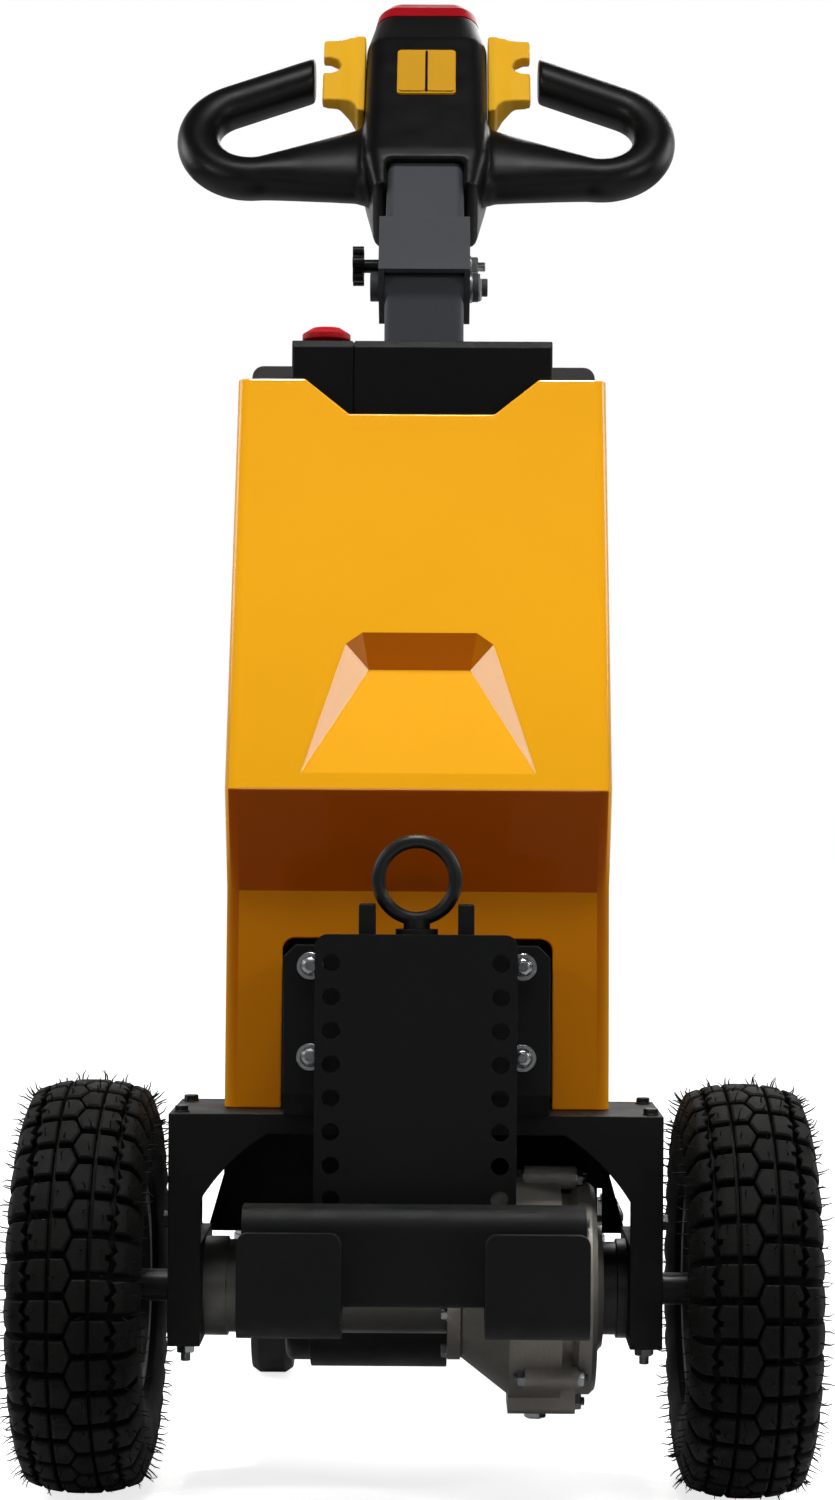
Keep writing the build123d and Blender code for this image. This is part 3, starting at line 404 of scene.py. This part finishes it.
def socket_screw(bm, point, direction, size):
    # Washer under a button head with a round socket
    place = along(point, direction)
    thick = BUTTON_WASHER_HIGH * size
    washer(bm, place, THREAD_R * size, BUTTON_WASHER_R * size, thick)
    head = place @ Matrix.Translation((0, 0, thick))
    high = BUTTON_HIGH * size
    profile = [(r * size, z * high) for r, z in BUTTON_HEAD]
    profile += [(BUTTON_SOCKET * size, high), (BUTTON_SOCKET * size, SOCKET_FLOOR * high)]
    turned(bm, head, profile)


def add(name, bm):
    # Object from bm, linked to the scene
    mesh = bpy.data.meshes.new(name)
    bm.to_mesh(mesh)
    bm.free()
    thing = bpy.data.objects.new(name, mesh)
    scene.collection.objects.link(thing)
    return thing


def dress(thing, body, material):
    # One finish, riding on the body
    thing.data.materials.clear()
    thing.data.materials.append(material)
    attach(thing, body)


def make(name, bm, body, material, sharp=35):
    # Piece from bm, shaded smooth except along edges sharper than the angle
    bmesh.ops.recalc_face_normals(bm, faces=bm.faces)
    for edge in bm.edges:
        edge.smooth = len(edge.link_faces) == 2 and edge.calc_face_angle() < math.radians(sharp)
    for face in bm.faces:
        face.smooth = True
    thing = add(name, bm)
    dress(thing, body, material)
    return thing


# Drive tyres: pneumatic carcass, three blocks a half row, moulding whiskers
tyre_low, tyre_high = corners("tyre_right")
TYRE_R = (tyre_high.z - tyre_low.z) / 2
TYRE_ROWS = 33
PITCH = 2 * math.pi / TYRE_ROWS
CARCASS_R = 148.0
BULGE_X = (tyre_high.x - tyre_low.x) / 2
BULGE_R = 114.0
BEAD_X = 33.7
BEAD_R = 85.5
SEAT_R = 76.2
WALL_STEPS = 8
CROWN_STEPS = 10
ROUND_POWERS = (0.6, 0.75)
RIB_AT = 3
RIB_OUT = 1.6
RIB_EDGE = 0.6
RIB_FOOT = 0.4
EDGE_X = 42.0
EDGE_DROP = 8.0
EDGE_POWER = 2.4
SHOULDER_DROP = 20
SHOULDER_POWER = 1.3
BLOCK_CHAMFER = 1.3
BLOCK_DEPTH = 14
FOOT_DRAW = 0.985
# One half row: circumferential place in pitches, inner and outer edge across the tread
INNER_BLOCK = [(-0.4, 3.2, 13.6), (-0.2, 0.6, 13.6), (0.0, -1.8, 13.6), (0.2, 0.6, 13.6), (0.4, 3.2, 13.6)]
OUTER_BLOCK = [
    (-0.4, 16.4, 28.0), (-0.16, 16.4, 31.2), (-0.04, 16.4, 31.2), (0.0, 16.4, 27.5), (0.12, 16.4, 27.5),
    (0.16, 16.4, 30.6), (0.4, 16.4, 29.0),
]
SHOULDER_BLOCK = [
    (-0.36, 32.4, 49.0), (-0.1, 35.6, 50.2), (0.06, 32.0, 50.2), (0.2, 35.0, 50.2), (0.43, 33.2, 49.0),
]
# columns: outline of the block, columns of faces across it
BLOCKS = [(INNER_BLOCK, 2), (OUTER_BLOCK, 2), (SHOULDER_BLOCK, 5)]
# columns: count round the wheel, distance from the middle plane, root radius, lean outward in degrees
WHISKER_ROWS = [
    (78, 49.5, 128, 78), (66, 46.0, 146, 55), (50, 40.0, 150, 25), (40, 24.0, 156, 8), (40, 10.0, 159, 0),
]
WHISKER_R = (0.65, 0.55, 0.3)
WHISKER_LONG = (5.0, 10.5)
WHISKER_SAG = 0.35
WHISKER_STEP = 0.3
WHISKER_LEAN = 12
FLOOR_CLEAR = 0.004


def crown(x):
    # Radius of the block tops at a distance from the middle plane
    x = abs(x)
    if x <= EDGE_X:
        return TYRE_R - EDGE_DROP * (x / EDGE_X) ** EDGE_POWER
    return TYRE_R - EDGE_DROP - SHOULDER_DROP * ((x - EDGE_X) / EDGE_DROP) ** SHOULDER_POWER


def carcass_skin():
    # Outer skin from bead to bead as (x, radius), with a rib on each side wall
    half = []
    for k in range(WALL_STEPS + 1):
        a = math.pi / 2 * (1 - k / WALL_STEPS)
        x = BEAD_X + (BULGE_X - BEAD_X) * math.cos(a)
        half.append((x, BULGE_R - (BULGE_R - BEAD_R) * math.sin(a)))
    low, high = half[RIB_AT:RIB_AT + 2]
    rib = [(low[0] + RIB_OUT, low[1] + RIB_EDGE), (high[0] + RIB_FOOT, high[1] - RIB_EDGE)]
    half[RIB_AT + 1:RIB_AT + 1] = rib
    for k in range(1, CROWN_STEPS + 1):
        a = math.pi / 2 * k / CROWN_STEPS
        x = BULGE_X * math.cos(a) ** ROUND_POWERS[0]
        half.append((x, BULGE_R + (CARCASS_R - BULGE_R) * math.sin(a) ** ROUND_POWERS[1]))
    return half + [(-x, r) for x, r in reversed(half[:-1])]


def wheel_point(centre, x, r, angle):
    return centre + Vector((x, r * math.cos(angle), r * math.sin(angle))) * MM


def carcass(bm, centre):
    skin = carcass_skin()
    section = skin + [(-BEAD_X, SEAT_R), (BEAD_X, SEAT_R)]
    count = 4 * TYRE_ROWS
    loops = []
    for x, r in section:
        loops.append([bm.verts.new(wheel_point(centre, x, r, 2 * math.pi * k / count)) for k in range(count)])
    for a, b in zip(loops, loops[1:] + loops[:1]):
        bridge(bm, a, b)


def tread_block(bm, centre, side, row, stations, columns):
    # Grid over the crown, its top drawn in by a chamfer, its foot sunk in the carcass
    def corner(x, r, place):
        return bm.verts.new(wheel_point(centre, side * x, r, (row + place) * PITCH))

    top, rim, foot = [], [], []
    low, high = stations[0][0], stations[-1][0]
    shrink = 1 - 2 * BLOCK_CHAMFER / (PITCH * TYRE_R * (high - low))
    for u, x0, x1 in stations:
        u_top = (low + high) / 2 + (u - (low + high) / 2) * shrink
        for k in range(columns + 1):
            t = k / columns
            x = x0 + (x1 - x0) * t
            x_top = x0 + BLOCK_CHAMFER + (x1 - x0 - 2 * BLOCK_CHAMFER) * t
            top.append(corner(x_top, crown(x_top), u_top))
            rim.append(corner(x, crown(x) - BLOCK_CHAMFER, u))
            foot.append(corner(x * FOOT_DRAW, crown(x) - BLOCK_DEPTH, u))
    wide = columns + 1
    rows = len(stations)
    for i in range(rows - 1):
        for k in range(columns):
            a = i * wide + k
            bm.faces.new((top[a], top[a + 1], top[a + wide + 1], top[a + wide]))
    loop = list(range(wide))
    loop += [i * wide + columns for i in range(1, rows)]
    loop += [(rows - 1) * wide + k for k in range(columns - 1, -1, -1)]
    loop += [i * wide for i in range(rows - 2, 0, -1)]
    for a, b in ((top, rim), (rim, foot)):
        bridge(bm, [a[k] for k in loop], [b[k] for k in loop])
    bm.faces.new([foot[k] for k in loop])


def whisker(bm, root, direction, length):
    # Thin bent hair left by the mould's vents
    sag = Vector([dice.uniform(-1, 1) for _ in range(3)]) * WHISKER_SAG
    foot = root - direction * MM
    bend = root + direction * length * 0.5 * MM
    tip = root + (direction + sag).normalized() * length * MM
    rings = [ring(bm, along(p, direction), r * MM, 0, 4) for p, r in zip((foot, bend, tip), WHISKER_R)]
    for a, b in zip(rings, rings[1:]):
        bridge(bm, a, b)
    bm.faces.new(list(reversed(rings[0])))
    bm.faces.new(rings[-1])


def whiskers(bm, centre):
    # None that would reach the floor
    for count, x, r, lean in WHISKER_ROWS:
        for side in (-1, 1):
            for k in range(count):
                angle = 2 * math.pi * (k + dice.uniform(-WHISKER_STEP, WHISKER_STEP)) / count
                length = dice.uniform(*WHISKER_LONG)
                tilt = math.radians(lean + dice.uniform(-WHISKER_LEAN, WHISKER_LEAN))
                radial = Vector((0, math.cos(angle), math.sin(angle)))
                out = RIGHT * side * math.sin(tilt) + radial * math.cos(tilt)
                root = wheel_point(centre, side * x, r, angle)
                if (root + out * length * MM).z > FLOOR_CLEAR:
                    whisker(bm, root, out, length)


def drive_tyre(side_name):
    centre = middle("rim_" + side_name)
    bm = bmesh.new()
    carcass(bm, centre)
    for row in range(TYRE_ROWS):
        for side, shift in ((1, 0.0), (-1, 0.5)):
            for outline, columns in BLOCKS:
                tread_block(bm, centre, side, row + shift, outline, columns)
    whiskers(bm, centre)
    tyre = make("tread_tyre_" + side_name, bm, "wheel_" + side_name, TYRE_RUBBER, sharp=40)
    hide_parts("tyre_" + side_name)


for name in SIDES:
    drive_tyre(name)


# Wheel hardware: nuts on the flange's studs, a large nut on the shaft, valve
STUDS = 5
STUD_R = 29.0
STUD_FACE = 4.0
STUD_SIZE = 8
STUD_END = 4
SHAFT_FLATS = 36
SHAFT_NUT_HIGH = 9
SHAFT_NUT_BACK = 6
VALVE_X = 10
VALVE_R = 66
VALVE_ANGLE = 0.4
VALVE_OUT = 0.9
VALVE_IN = 0.3
# columns: radius, height
VALVE = [(6.5, -4), (6.5, 2), (4, 6), (3.4, 22), (4.2, 22.5), (4.2, 30), (3.2, 31)]


def wheel_hardware(side_name, out):
    centre = middle("rim_" + side_name)
    bm = bmesh.new()
    for k in range(STUDS):
        stud = wheel_point(centre, out.x * STUD_FACE, STUD_R, 2 * math.pi * (k + 0.5) / STUDS)
        hex_bolt(bm, stud, out, STUD_SIZE * MM, STUD_END * MM)
    tip = max((c.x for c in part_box("half_shaft_" + side_name)), key=abs)
    seat = Vector((tip - out.x * SHAFT_NUT_BACK * MM, centre.y, centre.z))
    hexagon(bm, along(seat, out), SHAFT_FLATS * MM, SHAFT_NUT_HIGH * MM)
    make("wheel_nuts_" + side_name, bm, "wheel_" + side_name, ZINC)
    bm = bmesh.new()
    stem = wheel_point(centre, out.x * VALVE_X, VALVE_R, VALVE_ANGLE)
    inward = Vector((0, -math.cos(VALVE_ANGLE), -math.sin(VALVE_ANGLE)))
    place = along(stem, (out * VALVE_OUT + inward * VALVE_IN).normalized())
    turned(bm, place, [(r * MM, z * MM) for r, z in VALVE], 16)
    make("valve_" + side_name, bm, "wheel_" + side_name, MOULDED)


wheel_hardware("right", RIGHT)
wheel_hardware("left", LEFT)


# Fasteners of the chassis
def both_sides(rows):
    # Each row with its mirror image; columns: x, y, z in mm, direction, thread size and thread end in mm
    out = []
    for x, y, z, direction, size, tail in rows:
        out.append((spot(x, y, z), direction, size, tail))
        mirrored = Vector((-direction.x, direction.y, direction.z))
        out.append((spot(-x, y, z), mirrored, size, tail))
    return out


def bolts(name, body, rows, material=ZINC):
    # Heads at odd angles; columns: scene point, direction, thread size and thread end in mm
    bm = bmesh.new()
    for k, (point, direction, size, tail) in enumerate(rows):
        hex_bolt(bm, point, direction, size * MM, tail * MM, FIRST_TURN + NEXT_TURN * k)
    make(name, bm, body, material)


# Portal: under the legs, on its sides and top; mast foot on the deck
portal_low, portal_high = corners("portal_frame")
DECK_TOP = corners("rear_deck")[1].z
LEG_X = 176
LEG_Y = (-44, 48)
SIDE_Y = (-34, 38)
SIDE_Z = 216
TOP_X = 180
TOP_Y = (-46, 46)
FOOT_X = 56
FOOT_Y = (306, 392)
FOOT_THICK = 8
side_rows = [(portal_high.x, y, SIDE_Z, RIGHT, 7, 0) for y in SIDE_Y]
top_rows = [(TOP_X, y, DECK_TOP, UP, 6, 0) for y in TOP_Y]
bolts("leg_bolts", "chassis", both_sides([(LEG_X, y, portal_low.z, DOWN, 8, 7) for y in LEG_Y]))
bolts("member_bolts", "chassis", both_sides(side_rows + top_rows), BLACK_PAINT)
bolts("foot_bolts", "chassis", both_sides([(FOOT_X, y, DECK_TOP + FOOT_THICK, UP, 10, 0) for y in FOOT_Y]))

# Caster plates: thread ends above the deck's shelf on the outer side, heads below on the inner side
plate_low, plate_high = corners("caster_plate_right")
PLATE_HALF = 40
SHELF_THICK = 6
PLATE_THICK = 6
plate = (plate_low + plate_high) / 2
rows = []
for dx, z, direction, tail in (
    (PLATE_HALF, plate_high.z + SHELF_THICK, UP, 6),
    (-PLATE_HALF, plate_high.z - PLATE_THICK, DOWN, 0),
):
    for dy in (-PLATE_HALF, PLATE_HALF):
        rows.append((plate.x + dx, plate.y + dy, z, direction, 8, tail))
bolts("shelf_bolts", "chassis", both_sides(rows))

# Button-head screws of the hitch's back plate
SCREW_X = 80.6
SCREW_Y = -76
SCREW_Z = (345, 414)
SCREW_SIZE = 8
bm = bmesh.new()
for x in (-SCREW_X, SCREW_X):
    for z in SCREW_Z:
        socket_screw(bm, spot(x, SCREW_Y, z), FRONT, SCREW_SIZE * MM)
make("hitch_screws", bm, "chassis", ZINC)

# Casing: through-bolts at the parting flange, neck flange, plug under the sump
CASE_ANGLES = (60, 97, 138, 180, 222, 268, 312)
CASE_REACH = 88.0
CASE_BOSS = 20
NECK_BOLTS = 6
NECK_REACH = 49.0
PLUG = (94, 0, 66)
case_low, case_high = corners("gear_case")


def round_axle(x, reach, angle):
    # Scene point round the drive axle
    return spot(x, reach * math.cos(angle), AXLE.z / MM + reach * math.sin(angle))


rows = []
for a in CASE_ANGLES:
    for out in (LEFT, RIGHT):
        boss = case_high.x + out.x * CASE_BOSS
        rows.append((round_axle(boss, CASE_REACH, math.radians(a)), out, 7, 3))
for k in range(NECK_BOLTS):
    rows.append((round_axle(case_low.x, NECK_REACH, 2 * math.pi * (k + 0.25) / NECK_BOLTS), LEFT, 6, 0))
rows.append((spot(*PLUG), DOWN, 9, 0))
bolts("case_bolts", "chassis", rows)

# Rear panel
PANEL_X = 132
PANEL_Z = (330, 615, 900)
panel_back = corners("rear_panel")[1].y
bolts("panel_screws", "chassis", both_sides([(PANEL_X, panel_back, z, REAR, 5, 0) for z in PANEL_Z]))

# Control head and grips: one moulding, its roots flowing into the head
ROOT_S = 155.0
ROOT_AXES = (46.0, 24.0)
ROOT_X = (44.0, 60.0)
ROOT_STEPS = 32
HEAD_VOXEL = 0.002
HEAD_ROUNDS = 14


def prism(bm, ring_low, ring_high):
    low = [bm.verts.new(p) for p in ring_low]
    high = [bm.verts.new(p) for p in ring_high]
    bridge(bm, low, high)
    bm.faces.new(list(reversed(low)))
    bm.faces.new(high)
    bmesh.ops.recalc_face_normals(bm, faces=bm.faces)


def root_plug(bm, side):
    # Oval stub that carries each grip's root through the side of the head
    turns = [side * 2 * math.pi * k / ROOT_STEPS for k in range(ROOT_STEPS)]
    oval = [(ROOT_AXES[1] * math.sin(a), ROOT_S + ROOT_AXES[0] * math.cos(a)) for a in turns]
    prism(bm, *[[tilted(side * x, n, s) for n, s in oval] for x in ROOT_X])


def moulded(name, bm, voxel, rounds, material):
    # Closed forms in bm run together into one skin with softened edges, on the tiller
    thing = add(name, bm)
    remesh = thing.modifiers.new("remesh", "REMESH")
    remesh.mode = "VOXEL"
    remesh.voxel_size = voxel
    remesh.use_smooth_shade = True
    smooth = thing.modifiers.new("smooth", "SMOOTH")
    smooth.factor = 0.5
    smooth.iterations = rounds
    graph = bpy.context.evaluated_depsgraph_get()
    thing.data = bpy.data.meshes.new_from_object(thing.evaluated_get(graph))
    thing.modifiers.clear()
    dress(thing, "tiller", material)
    return thing


def control_moulding():
    sources = ["tiller_head", "grip_left", "grip_right"]
    bm = bmesh.new()
    root_plug(bm, 1)
    root_plug(bm, -1)
    for name in sources:
        bm.from_mesh(nodes[name].data)
    thing = moulded("control_moulding", bm, HEAD_VOXEL, HEAD_ROUNDS, MOULDED)
    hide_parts(*sources)


# Throttle paddle, right side: across and along the arm; then across and towards the back
PADDLE = [
    (57.2, 205), (64, 205), (66, 212), (71, 219), (80, 224), (97, 225), (97, 262), (91, 261), (83, 264),
    (80, 271), (83, 279), (91, 283), (97, 282), (97, 306), (57.2, 306),
]
PADDLE_SECTION = [
    (57.2, -23), (64, -24), (71, -22), (79, -19), (98, -18), (98, -7), (82, -5), (74, 2), (66, 10),
    (57.2, 12),
]
OUTLINE_SPAN = (-60, 60)
SECTION_SPAN = (190, 320)
PADDLE_VOXEL = 0.0012
PADDLE_ROUNDS = 8


def throttle(side_name, side):
    # Barrel beside the head with a thin wing: the section cut to the paddle's outline
    outline = [[tilted(side * x, n, s) for x, s in PADDLE] for n in OUTLINE_SPAN]
    section = [[tilted(side * x, n, s) for x, n in PADDLE_SECTION] for s in SECTION_SPAN]
    forms = []
    for key, ends in (("paddle_outline", outline), ("paddle_section", section)):
        bm = bmesh.new()
        prism(bm, *ends)
        forms.append(add(key, bm))
    cut = forms[0].modifiers.new("cut", "BOOLEAN")
    cut.operation = "INTERSECT"
    cut.object = forms[1]
    graph = bpy.context.evaluated_depsgraph_get()
    bm = bmesh.new()
    bm.from_object(forms[0], graph)
    for thing in forms:
        bpy.data.objects.remove(thing)
    name = "paddle_" + side_name
    paddle = moulded(name, bm, PADDLE_VOXEL, PADDLE_ROUNDS, YELLOW_PLASTIC)
    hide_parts("throttle_" + side_name)


control_moulding()
throttle("right", 1)
throttle("left", -1)

# Dark split between the two rockers, at the bottom of their groove
ROCKER_SEAT = (-37.9, 238.5)
ROCKER_PITCH = math.radians(3.26)
SPLIT_X = 1.1
SPLIT_UP = 29.5
SPLIT_OUT = (1.8, 2.6)


def on_rocker(x, up, out):
    # Scene point in millimetres from the rocker panel's seat: across, up its slope, off its face
    c, s = math.cos(ROCKER_PITCH), math.sin(ROCKER_PITCH)
    return tilted(x, ROCKER_SEAT[0] + up * s - out * c, ROCKER_SEAT[1] + up * c + out * s)


def rocker_split():
    outline = [(-SPLIT_X, -SPLIT_UP), (SPLIT_X, -SPLIT_UP), (SPLIT_X, SPLIT_UP), (-SPLIT_X, SPLIT_UP)]
    bm = bmesh.new()
    prism(bm, *[[on_rocker(x, up, out) for x, up in outline] for out in SPLIT_OUT])
    make("rocker_split", bm, "tiller", DASH_BLACK)


rocker_split()

# Tiller: nuts and thread ends on the knob's locking pin and on the pivot bolt
ARM_SIDE = 40.3
LOCK_S = 26
bolts("arm_nut", "tiller", [
    (tilted(ARM_SIDE, 0, LOCK_S), RIGHT, 9, 7),
    (tilted(ARM_SIDE, 0, 0), RIGHT, 13, 4),
])


# Stage, light and camera: white studio behind, dim room before it
def seen_rays(tree):
    # Two switches: what the camera sees straight; that and what it sees in a mirror or through glass
    path = tree.nodes.new("ShaderNodeLightPath")
    seen = path.outputs["Is Camera Ray"]
    for key in ("Is Glossy Ray", "Is Transmission Ray"):
        most = tree.nodes.new("ShaderNodeMath")
        most.operation = "MAXIMUM"
        tree.links.new(seen, most.inputs[0])
        tree.links.new(path.outputs[key], most.inputs[1])
        seen = most.outputs[0]
    return path.outputs["Is Camera Ray"], seen


WHITE = (1, 1, 1, 1)
ROOM_LIGHT = 0.1
ROOM_DIM = 0.06
# Mirrors show the white backdrop low behind the object and the dim room elsewhere
MIRROR_LOOK = (0, 1, -1.2)
MIRROR_BAND = (-0.1, 0.5)
FLOOR_HALF = 40.0
FLOOR_PALE = ((0.86, 0.86, 0.86, 1), (0.9, 0.9, 0.9, 1))
FLOOR_BOUNCE = (0.12, 0.12, 0.12, 1)
FLOOR_ROUGH = 0.8
FLOOR_GLOSS = 0.1
# Paper white, which fades into the backdrop away from the object
PAPER_GLOW = 0.78
PAPER_FADE = (0.8, 2.6)


def studio_world():
    world = bpy.data.worlds.new("studio")
    world.use_nodes = True
    tree = world.node_tree
    links = tree.links
    back = tree.nodes["Background"]
    back.inputs["Color"].default_value = WHITE
    direct, seen = seen_rays(tree)
    facing = tree.nodes.new("ShaderNodeVectorMath")
    facing.operation = "DOT_PRODUCT"
    facing.inputs[1].default_value = MIRROR_LOOK
    links.new(tree.nodes.new("ShaderNodeTexCoord").outputs["Generated"], facing.inputs[0])
    room = tree.nodes.new("ShaderNodeMapRange")
    room.inputs["From Min"].default_value = MIRROR_BAND[0]
    room.inputs["From Max"].default_value = MIRROR_BAND[1]
    room.inputs["To Min"].default_value = ROOM_DIM
    links.new(facing.outputs["Value"], room.inputs["Value"])
    bright = tree.nodes.new("ShaderNodeMath")
    bright.operation = "MAXIMUM"
    links.new(direct, bright.inputs[0])
    links.new(room.outputs["Result"], bright.inputs[1])
    level = tree.nodes.new("ShaderNodeMix")
    level.inputs["A"].default_value = ROOM_LIGHT
    links.new(seen, level.inputs["Factor"])
    links.new(bright.outputs[0], level.inputs["B"])
    links.new(level.outputs["Result"], back.inputs["Strength"])
    scene.world = world


def studio_floor():
    mesh = bpy.data.meshes.new("floor")
    outline = [(FLOOR_HALF * x, FLOOR_HALF * y, 0) for x, y in ((-1, -1), (1, -1), (1, 1), (-1, 1))]
    mesh.from_pydata(outline, [], [(0, 1, 2, 3)])
    floor = bpy.data.objects.new("floor", mesh)
    scene.collection.objects.link(floor)
    s = Shader("floor_pale")
    direct, seen = seen_rays(s.tree)
    pale = s.mixed(s.noise(3, 3.0), *FLOOR_PALE)
    s.link(s.mixed(seen, FLOOR_BOUNCE, pale), s.out.inputs["Base Color"])
    s.out.inputs["Roughness"].default_value = FLOOR_ROUGH
    s.out.inputs["Specular IOR Level"].default_value = FLOOR_GLOSS
    s.out.inputs["Emission Color"].default_value = WHITE
    away = s.new("ShaderNodeVectorMath")
    away.operation = "LENGTH"
    s.link(s.place, away.inputs[0])
    paper = s.ranged(away.outputs["Value"], *PAPER_FADE, PAPER_GLOW, 1.0)
    s.link(s.product(direct, paper), s.out.inputs["Emission Strength"])
    mesh.materials.append(s.material)
    floor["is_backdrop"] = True


def lamp(name, place, aim, size, watts, spread):
    light = bpy.data.lights.new(name, "AREA")
    light.shape = "RECTANGLE"
    light.size, light.size_y = size
    light.energy = watts
    light.spread = math.radians(spread)
    thing = bpy.data.objects.new(name, light)
    thing.location = place
    thing.rotation_euler = (Vector(aim) - Vector(place)).to_track_quat("-Z", "Y").to_euler()
    scene.collection.objects.link(thing)


studio_world()
studio_floor()
# Gridded box over the cover, a broad one high in front, a bar above the camera, one low on its right,
# a small one on each side; broad ones on the flanks and behind for the sides that aren't in the photograph
# columns: name, place and aim in metres, width and height, watts, spread in degrees
LAMPS = [
    ("overhead", (0, -0.19, 3.0), (0, -0.18, 0), (1.0, 0.12), 1.0, 16),
    ("front", (0.1, -1.15, 3.45), (0, 0, 0.6), (1.8, 0.4), 43, 180),
    ("bar", (0, -3.1, 1.45), (0, 0, 0.4), (0.7, 0.3), 3.7, 180),
    ("side", (1.35, -2.5, 0.8), (0.1, 0, 0.3), (0.5, 0.5), 2.2, 180),
    ("strip_left", (-1.9, -1.465, 1.6), (0, 0, 0.6), (0.34, 0.44), 9.5, 180),
    ("strip_right", (1.9, -1.505, 1.61), (0, 0, 0.6), (0.34, 0.44), 9.5, 180),
    ("flank_left", (-2.6, 0.9, 1.9), (0, 0.1, 0.6), (1.2, 1.2), 27, 180),
    ("flank_right", (2.6, 0.9, 1.9), (0, 0.1, 0.6), (1.2, 1.2), 27, 180),
    ("back", (0.6, 2.6, 2.6), (0, 0, 0.6), (1.8, 1.2), 30, 180),
]
for row in LAMPS:
    lamp(*row)

# Camera a little below the cover's crease, hardly right of the middle; PHOTO and PX values are in pixels
PHOTO_H = 1500
FOCAL_PX = 3050
HORIZON_PX = 820
SENSOR = 36.0
CAMERA_BACK = 2.386
CAMERA_X = 0.017
CAMERA_Z = 0.525
CAMERA_ROLL = math.radians(-0.36)
# Turned to the middle of the axle, with a trim of a pixel
CAMERA_TURN = math.atan2(CAMERA_X, CAMERA_BACK) + 0.0003
camera = bpy.data.objects.new("camera", bpy.data.cameras.new("camera"))
scene.collection.objects.link(camera)
camera.data.sensor_fit = "VERTICAL"
camera.data.sensor_height = SENSOR
camera.data.lens = SENSOR * FOCAL_PX / PHOTO_H
camera.data.shift_y = (HORIZON_PX - PHOTO_H / 2) / PHOTO_H
camera.location = (CAMERA_X, AXLE.y - CAMERA_BACK, CAMERA_Z)
camera.rotation_euler = (math.radians(90), CAMERA_ROLL, CAMERA_TURN)
scene.camera = camera
scene.view_settings.view_transform = "Standard"

[[list(corner) for corner in pair] for pair in (cad_box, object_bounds())]
